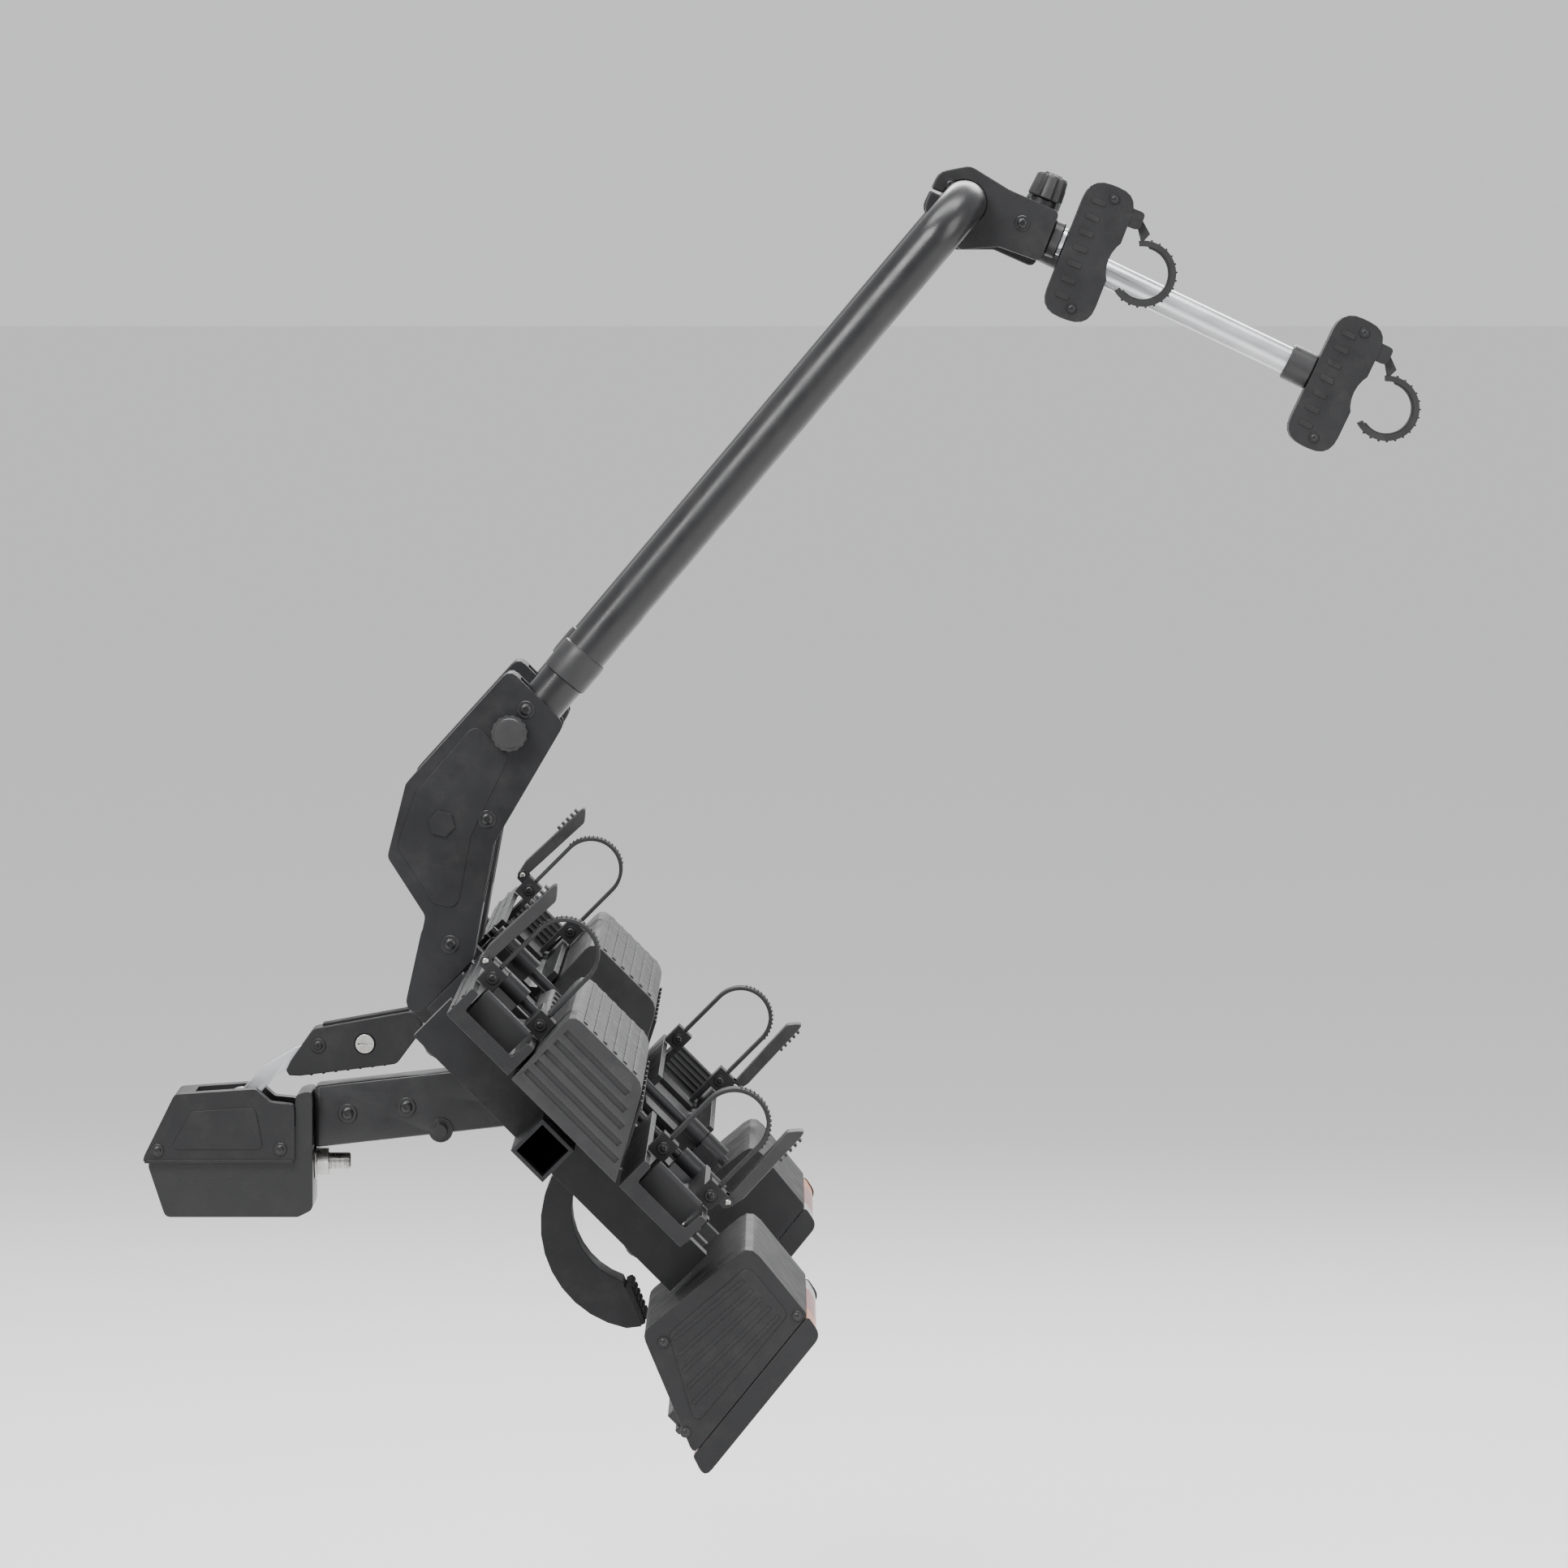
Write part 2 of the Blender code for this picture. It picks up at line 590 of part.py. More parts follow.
def make_pedal(tilt):
    """Crescent foot pedal that frees the latch, open between its inner edge and the drum."""
    u0, w0 = PEDAL_HINGE
    frame = empty("pedal_axis", tilt, (u0, 0, w0))
    outline = list(arc((0.132, -0.022), 0.0865, 178, 304, 12))
    outline += [(0.188, -0.084, 0)]
    outline += list(arc(PEDAL_CENTRE, PEDAL_INNER, math.degrees(PEDAL_EDGE), 196, 10))
    outline += [(0.0680, 0.000, 0), (0.0500, 0.000, 0)]
    arm = prism("pedal_arm", [(p[0] - u0, p[1] - w0, 0) for p in outline], -0.030, 0.030, frame)
    join(arm, rod("pedal_hub", (0, -0.0640, 0), (0, 0.0640, 0), 0.0105, frame, sides=20),
         rod("pedal_pin", (0, -0.0940, 0), (0, 0.0940, 0), 0.005, frame, sides=20))
    finish(arm, "black_aluminium")
    inner = Vector(PEDAL_CENTRE) + PEDAL_INNER * Vector((math.cos(PEDAL_EDGE), math.sin(PEDAL_EDGE)))
    tip = Vector((0.1880, -0.0840))
    up = Vector((inner.y - tip.y, tip.x - inner.x)).normalized()
    near, far = inner.lerp(tip, 0.10), inner.lerp(tip, 0.94)
    corners = (near + up * GAP, near + up * 0.006, far + up * 0.005, far + up * GAP)
    tread = prism("pedal_pad", [(p.x - u0, p.y - w0, 0) for p in corners], -0.045, 0.045, frame)
    finish(tread, "grip_rubber")


# ---------------------------------------------------------------- mast and its two arms
def make_mast(tilt):
    u, w = MAST_HINGE
    frame = empty("mast_axis", tilt, (u, 0, w), (0, -MAST_LEAN, 0))
    points = [(-MAST_HALF, 0)]
    points += [(p[0], p[1]) for p in arc((-MAST_HALF + MAST_BEND, MAST_HEIGHT - MAST_BEND), MAST_BEND,
                                         180, 90, 6)]
    points += [(p[0], p[1]) for p in arc((MAST_HALF - MAST_BEND, MAST_HEIGHT - MAST_BEND), MAST_BEND,
                                         90, 0, 6)]
    points += [(MAST_HALF, 0)]
    mast = pipe("mast_tube", [(0, v, z) for v, z in points], MAST_TUBE, frame, resolution=5)
    points[0], points[-1] = (-MAST_HALF, -0.03), (MAST_HALF, -0.03)
    bore = pipe("mast_bore", [(0, v, z) for v, z in points], MAST_TUBE - 0.0022, frame, resolution=4)
    for side in (-1, 1):
        v = side * MAST_HALF
        join(mast, rod("foot", (0, v - 0.0195, 0), (0, v + 0.0195, 0), 0.0200, frame, sides=28))
    cut(mast, bore)
    for side in (-1, 1):
        v = side * MAST_HALF
        cut(mast, rod("foot_hole", (0, v - 0.03, 0), (0, v + 0.03, 0), 0.0064, frame, sides=24))
    finish(mast, "black_steel")
    return frame


def make_arm(mast, name):
    """Clamp on the mast's top bar, bar, jaw block and the closing loop round a bicycle's tube."""
    sizes = ARMS[name]
    v = sizes["v"]
    frame = empty(f"arm_{name}_axis", mast, (0, v, MAST_HEIGHT), (0, -sizes["angle"], 0))

    clamp = prism(
        f"arm_clamp_{name}",
        [(-0.028, -0.016, 0.012), (-0.028, 0.016, 0.012), (-0.006, 0.030, 0.012), (0.030, 0.0235),
         (ARM_BLOCK_END, 0.0215), (ARM_BLOCK_END, -0.0215), (0.040, -0.0225), (0.012, -0.036, 0.006),
         (-0.010, -0.031, 0.010)],
        -0.019, 0.019, frame, radius=0.005,
    )
    cut(clamp, rod("bar_hole", (0, -0.04, 0), (0, 0.04, 0), MAST_TUBE + RUNNING, frame, sides=32),
        box("split", (-0.040, -0.030, -0.0016), (0.0, 0.030, 0.0016), frame))
    join(clamp, rod("knob_boss", (0.060, 0, 0.018), (0.060, 0, 0.0270), 0.011, frame, sides=20))
    finish(clamp, "cover_plastic")

    knob = rod(f"arm_knob_{name}", (0, 0, 0.0273), (0, 0, 0.0480),  0.0150,
               empty(f"knob_{name}_axis", frame, (0.060, 0, 0)), sides=24, end_radius=0.0130)
    for k in range(6):
        angle = math.radians(60 * k)
        x, y = 0.0185 * math.cos(angle), 0.0185 * math.sin(angle)
        cut(knob, rod("flute", (x, y, 0.02), (x, y, 0.06), 0.0062, knob.parent, sides=12))
    finish(knob, "trim_plastic")

    start, end = ARM_BLOCK_END + GAP, sizes["bar_end"]
    bar = rod(f"arm_bar_{name}", (start, 0, 0), (end, 0, 0), 0.0115, frame, sides=24)
    finish(bar, "bright_aluminium")

    low = end + GAP
    high = low + JAW_DEPTH
    half = JAW_HEIGHT / 2
    jaw = prism(
        f"arm_jaw_{name}",
        [(low, -half, 0.018), (low, half, 0.018), (high, half, 0.018), (high, -half, 0.018)],
        -0.016, 0.016, frame, steps=5,
    )
    loop = high + 0.026
    cut(jaw, rod("seat", (loop, -0.03, 0), (loop, 0.03, 0), LOOP_RADIUS + 0.0085, frame, sides=32))
    cut(jaw, rod("knuckle_space", (high + EAR_PIN, -0.0110, 0.0385), (high + EAR_PIN, 0.0110, 0.0385),
                 0.0070, frame, sides=20))
    for side in (-1, 1):
        join(jaw, prism(
            "ear", [(high - 0.014, 0.031), (high - 0.014, 0.046), (high + 0.010, 0.046),
                    (high + 0.010, 0.031)],
            *sorted((side * 0.0102, side * 0.0153)), frame, radius=0.004))
    join(jaw, rod("ear_pin", (high + EAR_PIN, -0.0126, 0.0385), (high + EAR_PIN, 0.0126, 0.0385), 0.003, frame,
                  sides=16))
    finish(jaw, "cover_plastic")

    hinge = empty(f"jaw_{name}_axis", frame, (high + EAR_PIN, 0, 0.0385))
    centre = (loop - high - EAR_PIN, -0.0385)
    outline = list(arc(centre, LOOP_RADIUS + 0.006, 118, -128, 18))
    outline += list(arc(centre, LOOP_RADIUS, -128, 118, 18))
    strap = prism(f"arm_strap_{name}", outline, -0.0095, 0.0095, hinge)
    join(strap, rod("knuckle", (0, -0.0098, 0), (0, 0.0098, 0), 0.0062, hinge, sides=20),
         prism("web", [(-0.001, 0.004), (0.016, -0.0065), (0.014, -0.0150), (-0.004, -0.004)],
               -0.0085, 0.0085, hinge))
    cut(strap, rod("knuckle_hole", (0, -0.03, 0), (0, 0.03, 0), 0.0034, hinge, sides=20))
    finish(strap, "strap_rubber")


# ---------------------------------------------------------------- folding wings
def make_wing_frame(wing, name, side):
    """Welded frame under the trays: a spar, two cross bars and the moving knuckles.  The wing's
    frame has its origin on the fold axis, so v is counted outward from it."""
    v0, w0 = WING_HINGE
    top, under = 0.0297 - w0, -0.010 - w0

    def block(label, low, high):
        near, far = sorted((side * (low[1] - v0), side * (high[1] - v0)))
        return box(label, (low[0], near, low[2]), (high[0], far, high[2]), wing)

    frame = block(f"wing_frame_{name}", (-0.014, 0.180, under), (0.020, 0.600, 0.024 - w0))
    for v in (0.180, 0.455):
        join(frame, block("cross_bar", (-0.124, v, under), (0.1545, v + 0.028, top)))
    cut(frame, block("spar_bore", (-0.011, 0.215, under + WALL), (0.017, 0.620, 0.024 - w0 - WALL)))
    for v in (0.180, 0.455):
        cut(frame, block("bar_bore", (-0.110, v + WALL, under + WALL), (0.170, v + 0.025, top - WALL)))
    for start, end in ((-0.0955, -0.0735), (0.1035, 0.1255)):
        join(frame, rod("knuckle", (start, 0, 0), (end, 0, 0), 0.0105, wing, sides=20),
             prism("knuckle_arm",
                   [(side * -0.008, -0.006, 0), (side * 0.002, 0.0095, 0), (side * 0.015, top, 0),
                    (side * 0.026, top, 0), (side * 0.026, under + 0.004, 0),
                    (side * 0.019, under + 0.004, 0)],
                   start + 0.0006, end - 0.0006, wing, axis="u"))
        cut(frame, rod("rod_hole", (start - 0.01, 0, 0), (end + 0.01, 0, 0), 0.0054, wing, sides=20))
    finish(frame, "black_aluminium")


def make_tray(wing, where, name, side):
    """Wheel channel: a folded aluminium profile with turned-out lips."""
    v0, w0 = WING_HINGE
    u = TRAY_U[where]
    wide, thick = TRAY_HALF, TRAY_WALL
    floor, top = TRAY_FLOOR - w0, TRAY_TOP - w0
    outline = [
        (-wide, floor - thick), (wide, floor - thick), (wide, top), (wide - 0.005, top),
        (wide - 0.005, floor + 0.004), (wide - 0.010, floor), (-wide + 0.010, floor),
        (-wide + 0.005, floor + 0.004), (-wide + 0.005, top), (-wide, top),
    ]
    near, far = sorted((side * (WING_IN - v0), side * (WING_OUT - v0)))
    tray = prism(f"{where}_tray_{name}", [(u + p[0], p[1], 0) for p in outline], near, far, wing)
    finish(tray, "black_aluminium")


def make_hump(wing, name, side):
    """Ribbed cover between the channels, hollow and open below, with grooves in its outer end."""
    v0, w0 = WING_HINGE
    base, crest = 0.0300 - w0, 0.098 - w0
    near, far = sorted((side * (0.1850 - v0), side * (0.6150 - v0)))
    outline = [(-0.0525, base, 0), (-0.0555, crest, 0.010), (0.0210, crest, 0.016), (0.0585, base, 0)]
    cover = prism(f"hump_cover_{name}", outline, near, far, wing)
    cut(cover, prism(
        "inside",
        [(-0.0525 + WALL, base - 0.01, 0), (-0.0545 + WALL, crest - WALL, 0.006),
         (0.0200 - WALL, crest - WALL, 0.012), (0.0600 - WALL, base - 0.01, 0)],
        near + 2 * WALL, far - 2 * WALL, wing,
    ))
    outer = side * (0.6150 - v0)
    for k in range(5):
        w = base + 0.010 + 0.0105 * k
        low, high = sorted((outer - side * 0.0025, outer + side * 0.002))
        cut(cover, box("groove", (-0.0490, low, w), (0.0480 - 0.0075 * k, high, w + 0.0045), wing))
    finish(cover, "trim_plastic")


def make_lamp(wing, name, side):
    """Rear light unit at the wing's back edge: body and red lens."""
    v0, w0 = WING_HINGE
    near, far = sorted((side * (0.287 - v0), side * (0.577 - v0)))
    body = prism(
        f"lamp_housing_{name}",
        [(0.1555, -0.040 - w0, 0.010), (0.1655, 0.066 - w0, 0.012), (0.2350, 0.0590 - w0, 0.004),
         (0.2490, -0.0780 - w0, 0.004)],
        near, far, wing,
    )
    cut(body, prism(
        "lamp_hollow",
        [(0.1600, -0.036 - w0, 0.008), (0.1690, 0.062 - w0, 0.010), (0.2600, 0.0530 - w0, 0),
         (0.2600, -0.0770 - w0, 0)],
        near + 0.004, far - 0.004, wing,
    ))
    finish(body, "cover_plastic")
    lens = prism(
        f"lamp_lens_{name}",
        [(0.2355, 0.0580 - w0, 0.003), (0.2535, 0.0550 - w0, 0.010), (0.2680, -0.0850 - w0, 0.006),
         (0.2495, -0.0790 - w0, 0.003)],
        near + 0.003, far - 0.003, wing, steps=4,
    )
    cut(lens, prism(
        "lens_hollow",
        [(0.2200, 0.0530 - w0, 0), (0.2500, 0.0510 - w0, 0.006), (0.2630, -0.0780 - w0, 0.004),
         (0.2200, -0.0670 - w0, 0)],
        near + 0.007, far - 0.007, wing,
    ))
    finish(lens, "lamp_red")


def make_wheel_holder(wing, where, name, side):
    """Sliding cradle in a channel, its strap over the rim and the ratchet buckle."""
    v0, w0 = WING_HINGE
    u = TRAY_U[where]
    away = 1 if where == "rear" else -1       # the side of the channel that the buckle is on
    v = side * (CRADLE_V - v0)
    slider = empty(f"holder_{where}_{name}_axis", wing, (u, v, 0))
    floor = TRAY_FLOOR - w0 + GAP
    label = f"{where}_{name}"

    cradle = prism(
        f"wheel_cradle_{label}",
        [(side * -0.055, floor, 0), (side * -0.055, floor + 0.004, 0), (side * 0.020, floor + 0.004, 0),
         (side * 0.055, floor + 0.030, 0.006), (side * 0.062, floor + 0.028, 0.004),
         (side * 0.062, floor, 0)],
        -0.0225, 0.0225, slider, axis="u",
    )
    for way in (-1, 1):
        low, high = sorted((way * 0.0185, way * 0.0222))
        join(cradle, box("ear", (low, -0.014, floor + 0.0010), (high, 0.014, 0.0620 - w0), slider))
        low, high = sorted((way * 0.0180, way * 0.0335))
        join(cradle, box("ear_head", (low, -0.0145, 0.0600 - w0), (high, 0.0145, 0.0780 - w0), slider))
    finish(cradle, "cover_plastic")

    foot = 0.0783 - w0
    crown = 0.120 - w0
    outline = [(0.0275, foot, 0)]
    outline += [(p[0], p[1], 0) for p in arc((0, crown), 0.0275, 0, 180, 10)]
    outline += [(-0.0275, foot, 0), (-0.0245, foot, 0)]
    outline += [(p[0], p[1], 0) for p in arc((0, crown), 0.0245, 180, 0, 10)]
    outline += [(0.0245, foot, 0)]
    strap = prism(f"wheel_strap_{label}", outline, -0.0115, 0.0115, slider)
    finish(strap, "strap_rubber")

    hinge = empty(f"buckle_{label}_axis", slider, (away * 0.0385, 0, 0.0745 - w0))
    buckle = prism(
        f"wheel_buckle_{label}",
        [(away * -0.0030, 0.0045, 0), (away * -0.0060, 0.070, 0.004), (away * 0.0040, 0.082, 0.004),
         (away * 0.0065, 0.010, 0.003), (away * 0.0035, -0.0035, 0)],
        -0.0125, 0.0125, hinge,
    )
    finish(buckle, "trim_plastic")


def make_wing(tilt, name, side):
    v, w = WING_HINGE
    wing = empty(f"wing_{name}_axis", tilt, (0, side * v, w))
    make_wing_frame(wing, name, side)
    make_hump(wing, name, side)
    make_lamp(wing, name, side)
    for where in TRAY_U:
        make_tray(wing, where, name, side)
        make_wheel_holder(wing, where, name, side)


def make_rack():
    make_coupling()
    make_beam()
    make_lever()
    make_jaw()
    tilt = empty("tilt_axis", location=TILT_PIVOT, rotation=(0, TILT_ANGLE, 0))
    make_rails(tilt)
    make_cross_members(tilt)
    make_mast_lock(tilt)
    make_centre_cover(tilt)
    make_plate_holder(tilt)
    make_latch(tilt)
    make_pedal(tilt)
    for name, side in SIDES.items():
        make_outrigger(tilt, name, side)
        make_mast_bracket(tilt, name, side)
        make_wing(tilt, name, side)
    mast = make_mast(tilt)
    for name in ARMS:
        make_arm(mast, name)


make_rack()
bpy.context.view_layer.update()
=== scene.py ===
"""Looks of the tow-ball bike rack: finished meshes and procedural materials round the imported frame."""
import json
import math

import bmesh
import bpy
from mathutils import Matrix, Vector


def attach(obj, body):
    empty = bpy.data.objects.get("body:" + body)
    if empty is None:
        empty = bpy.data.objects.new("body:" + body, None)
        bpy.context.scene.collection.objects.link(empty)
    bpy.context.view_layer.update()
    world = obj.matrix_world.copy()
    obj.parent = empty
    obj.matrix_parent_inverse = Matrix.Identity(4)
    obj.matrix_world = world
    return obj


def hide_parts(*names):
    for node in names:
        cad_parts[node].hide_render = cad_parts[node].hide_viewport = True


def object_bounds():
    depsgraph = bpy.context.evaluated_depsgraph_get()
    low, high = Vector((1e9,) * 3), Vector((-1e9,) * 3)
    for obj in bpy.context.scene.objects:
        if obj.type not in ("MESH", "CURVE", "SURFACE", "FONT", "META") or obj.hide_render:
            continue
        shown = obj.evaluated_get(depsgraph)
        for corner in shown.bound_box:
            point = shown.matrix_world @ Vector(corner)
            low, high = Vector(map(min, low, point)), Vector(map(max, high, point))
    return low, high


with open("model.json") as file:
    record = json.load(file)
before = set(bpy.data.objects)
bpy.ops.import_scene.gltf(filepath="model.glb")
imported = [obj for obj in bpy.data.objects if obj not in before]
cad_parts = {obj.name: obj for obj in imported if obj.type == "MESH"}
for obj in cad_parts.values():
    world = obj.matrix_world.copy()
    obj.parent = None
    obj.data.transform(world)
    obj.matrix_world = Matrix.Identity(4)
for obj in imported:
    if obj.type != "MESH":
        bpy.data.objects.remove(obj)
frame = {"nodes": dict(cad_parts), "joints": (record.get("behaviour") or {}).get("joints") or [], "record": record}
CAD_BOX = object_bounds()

SIDES = {"left": -1, "right": 1}
ENDS = ("front", "rear")
ARMS = ("short", "long")


# ---------------------------------------------------------------- frames read from the joints
JOINTS = {joint["name"]: joint for joint in frame["joints"]}


def point(joint):
    return Vector(JOINTS[joint]["pos_m"])


def direction(joint):
    return Vector(JOINTS[joint]["axis"]).normalized()


def basis(origin, x_axis, y_axis):
    """A matrix with the given origin, x and y axes."""
    x, y = x_axis.normalized(), y_axis.normalized()
    turn = Matrix((x, y, x.cross(y))).transposed().to_4x4()
    return Matrix.Translation(origin) @ turn


ACROSS = Vector((0, 1, 0))
REAR = direction("wing_left_fold")            # the platform's own rearward direction, 45 degrees down at rest
DECK = basis(point("tilt"), REAR, ACROSS)     # u to the rear, v across, w up
MAST_UP = point("arm_short_swing") - point("mast_fold")
MAST_UP.y = 0
MAST_HEIGHT = MAST_UP.length
MAST = basis(point("mast_fold"), ACROSS.cross(MAST_UP), ACROSS)
WORLD = Matrix.Identity(4)


def arm_frame(name):
    up = direction(f"knob_{name}_turn")
    return basis(point(f"arm_{name}_swing"), ACROSS.cross(up), ACROSS)


def local_box(node, matrix):
    """Lowest and highest corners of a CAD node in a turned frame."""
    back = matrix.inverted()
    corners = [back @ vert.co for vert in frame["nodes"][node].data.vertices]
    low = Vector([min(c[i] for c in corners) for i in range(3)])
    high = Vector([max(c[i] for c in corners) for i in range(3)])
    return low, high


# ---------------------------------------------------------------- materials
def socket(node, name, value):
    node.inputs[name].default_value = value


class Finish:
    """A Principled material with layered noise in its colour, roughness and bump."""

    def __init__(self, name, roughness, metallic=0.0):
        self.material = bpy.data.materials.new(name)
        self.material.use_nodes = True
        self.tree = self.material.node_tree
        self.shader = self.tree.nodes["Principled BSDF"]
        self.base_roughness = roughness
        socket(self.shader, "Roughness", roughness)
        socket(self.shader, "Metallic", metallic)
        self.coords = self.tree.nodes.new("ShaderNodeTexCoord").outputs["Object"]
        self.normal = None

    def link(self, source, target):
        self.tree.links.new(source, target)

    def noise(self, scale, detail=4.0, stretch=(1, 1, 1), roughness=0.55):
        mapping = self.tree.nodes.new("ShaderNodeMapping")
        socket(mapping, "Scale", stretch)
        self.link(self.coords, mapping.inputs["Vector"])
        noise = self.tree.nodes.new("ShaderNodeTexNoise")
        socket(noise, "Scale", scale)
        socket(noise, "Detail", detail)
        socket(noise, "Roughness", roughness)
        self.link(mapping.outputs["Vector"], noise.inputs["Vector"])
        return noise.outputs["Fac"]

    def spread(self, source, low, high, start=0.3, end=0.7):
        ramp = self.tree.nodes.new("ShaderNodeMapRange")
        socket(ramp, "From Min", start)
        socket(ramp, "From Max", end)
        socket(ramp, "To Min", low)
        socket(ramp, "To Max", high)
        self.link(source, ramp.inputs["Value"])
        return ramp.outputs["Result"]

    def colours(self, dark, light, scale=9.0, dust=None, dust_scale=34.0, dust_amount=0.35):
        """Colour that drifts between two shades, with specks or dust over it."""
        mix = self.tree.nodes.new("ShaderNodeMix")
        mix.data_type = "RGBA"
        mix.inputs[6].default_value = (*dark, 1)
        mix.inputs[7].default_value = (*light, 1)
        self.link(self.spread(self.noise(scale), 0.0, 1.0), mix.inputs[0])
        result = mix.outputs[2]
        if dust:
            over = self.tree.nodes.new("ShaderNodeMix")
            over.data_type = "RGBA"
            over.inputs[7].default_value = (*dust, 1)
            self.link(result, over.inputs[6])
            patches = self.noise(dust_scale, 7.0, roughness=0.7)
            self.link(self.spread(patches, 0.0, dust_amount, 0.52, 0.78), over.inputs[0])
            result = over.outputs[2]
        self.link(result, self.shader.inputs["Base Color"])
        return self

    def gloss(self, amount, scale=60.0, stretch=(1, 1, 1)):
        low, high = self.base_roughness - amount, self.base_roughness + amount
        self.link(self.spread(self.noise(scale, 5.0, stretch), low, high), self.shader.inputs["Roughness"])
        return self

    def bump(self, scale, distance, strength=0.5, stretch=(1, 1, 1), detail=2.0):
        node = self.tree.nodes.new("ShaderNodeBump")
        socket(node, "Strength", strength)
        socket(node, "Distance", distance)
        self.link(self.noise(scale, detail, stretch), node.inputs["Height"])
        if self.normal:
            self.link(self.normal, node.inputs["Normal"])
        self.normal = node.outputs["Normal"]
        self.link(self.normal, self.shader.inputs["Normal"])
        return self

    def set(self, **values):
        for name, value in values.items():
            socket(self.shader, name.replace("_", " "), value)
        return self


def make_finishes():
    made = {}
    made["cover_plastic"] = (
        Finish("cover_plastic", 0.46)
        .colours((0.008, 0.008, 0.009), (0.013, 0.013, 0.014), dust=(0.035, 0.034, 0.032))
        .gloss(0.09).bump(1600, 0.0003, 0.30).bump(420, 0.0002, 0.22).set(Specular_IOR_Level=0.30)
    )
    made["trim_plastic"] = (
        Finish("trim_plastic", 0.38)
        .colours((0.017, 0.017, 0.018), (0.025, 0.025, 0.026), dust=(0.055, 0.054, 0.052))
        .gloss(0.10).bump(1300, 0.0003, 0.28).set(Specular_IOR_Level=0.36)
    )
    made["black_steel"] = (
        Finish("black_steel", 0.32, 0.0)
        .colours((0.007, 0.007, 0.008), (0.012, 0.012, 0.013), dust=(0.032, 0.031, 0.030))
        .gloss(0.08, 45).bump(760, 0.00025, 0.26)
        .set(Specular_IOR_Level=0.38, Coat_Weight=0.10, Coat_Roughness=0.22)
    )
    made["black_aluminium"] = (
        Finish("black_aluminium", 0.36, 0.35)
        .colours((0.012, 0.012, 0.013), (0.020, 0.020, 0.022), dust=(0.045, 0.044, 0.042))
        .gloss(0.09, 50).bump(900, 0.00022, 0.26).set(Specular_IOR_Level=0.36)
    )
    made["bright_aluminium"] = (
        Finish("bright_aluminium", 0.30, 1.0).colours((0.52, 0.53, 0.55), (0.66, 0.67, 0.69), 14)
        .gloss(0.08, 60, (0.15, 1, 1)).bump(500, 0.00006, 0.25, (0.05, 1, 1))
    )
    made["bright_steel"] = (
        Finish("bright_steel", 0.30, 1.0)
        .colours((0.40, 0.39, 0.36), (0.55, 0.55, 0.53), 60, dust=(0.16, 0.13, 0.10), dust_amount=0.25)
        .gloss(0.10, 120).bump(900, 0.00005, 0.25)
    )
    made["liner_plastic"] = (
        Finish("liner_plastic", 0.48).colours((0.14, 0.14, 0.15), (0.18, 0.18, 0.19))
        .gloss(0.08).bump(900, 0.0001, 0.2)
    )
    made["grip_rubber"] = (
        Finish("grip_rubber", 0.78)
        .colours((0.012, 0.012, 0.012), (0.021, 0.021, 0.021), 30, dust=(0.07, 0.068, 0.064))
        .gloss(0.08, 90).bump(1100, 0.0003, 0.35).set(Specular_IOR_Level=0.22)
    )
    made["strap_rubber"] = (
        Finish("strap_rubber", 0.62)
        .colours((0.013, 0.013, 0.014), (0.022, 0.022, 0.023), 26, dust=(0.06, 0.058, 0.055))
        .gloss(0.10, 80).bump(1400, 0.00025, 0.30).set(Specular_IOR_Level=0.26)
    )
    made["lamp_red"] = (
        Finish("lamp_red", 0.14).colours((0.26, 0.002, 0.003), (0.36, 0.004, 0.006), 20)
        .bump(300, 0.00004, 0.2)
        .set(Transmission_Weight=0.12, IOR=1.49, Coat_Weight=0.15, Coat_Roughness=0.08)
    )
    made["lamp_amber"] = (
        Finish("lamp_amber", 0.14).colours((0.60, 0.13, 0.004), (0.70, 0.18, 0.008), 20)
        .bump(300, 0.00004, 0.2)
        .set(Transmission_Weight=0.12, IOR=1.49, Coat_Weight=0.15, Coat_Roughness=0.08)
    )
    made["lamp_clear"] = (
        Finish("lamp_clear", 0.08).colours((0.78, 0.79, 0.80), (0.88, 0.89, 0.90), 20)
        .bump(300, 0.00004, 0.2)
        .set(Transmission_Weight=0.5, IOR=1.49, Coat_Weight=0.6, Coat_Roughness=0.05)
    )
    made["plate_blank"] = (
        Finish("plate_blank", 0.38)
        .colours((0.60, 0.60, 0.58), (0.68, 0.68, 0.66), 12, dust=(0.34, 0.31, 0.27), dust_amount=0.3)
        .gloss(0.08).bump(700, 0.00006, 0.3)
    )
    return {name: finish.material for name, finish in made.items()}


FINISHES = make_finishes()


# ---------------------------------------------------------------- geometry helpers
def fillet(corners, radius, steps=5):
    """An outline with rounded corners; a corner may carry its own radius as a third value."""
    points = []
    for i, corner in enumerate(corners):
        here = Vector(corner[:2])
        size = corner[2] if len(corner) > 2 else radius
        before = Vector(corners[i - 1][:2]) - here
        after = Vector(corners[(i + 1) % len(corners)][:2]) - here
        if size <= 0 or before.length == 0 or after.length == 0:
            points.append(here)
            continue
        half = max(before.angle(after) / 2, 0.05)
        trim = min(size / math.tan(half), 0.48 * before.length, 0.48 * after.length)
        start, end = here + before.normalized() * trim, here + after.normalized() * trim
        for k in range(steps + 1):
            t = k / steps
            points.append(start * (1 - t) ** 2 + here * (2 * t * (1 - t)) + end * t ** 2)
    return points


def arc(centre, radius, start, end, steps):
    for k in range(steps + 1):
        angle = math.radians(start + (end - start) * k / steps)
        yield (centre[0] + radius * math.cos(angle), centre[1] + radius * math.sin(angle))


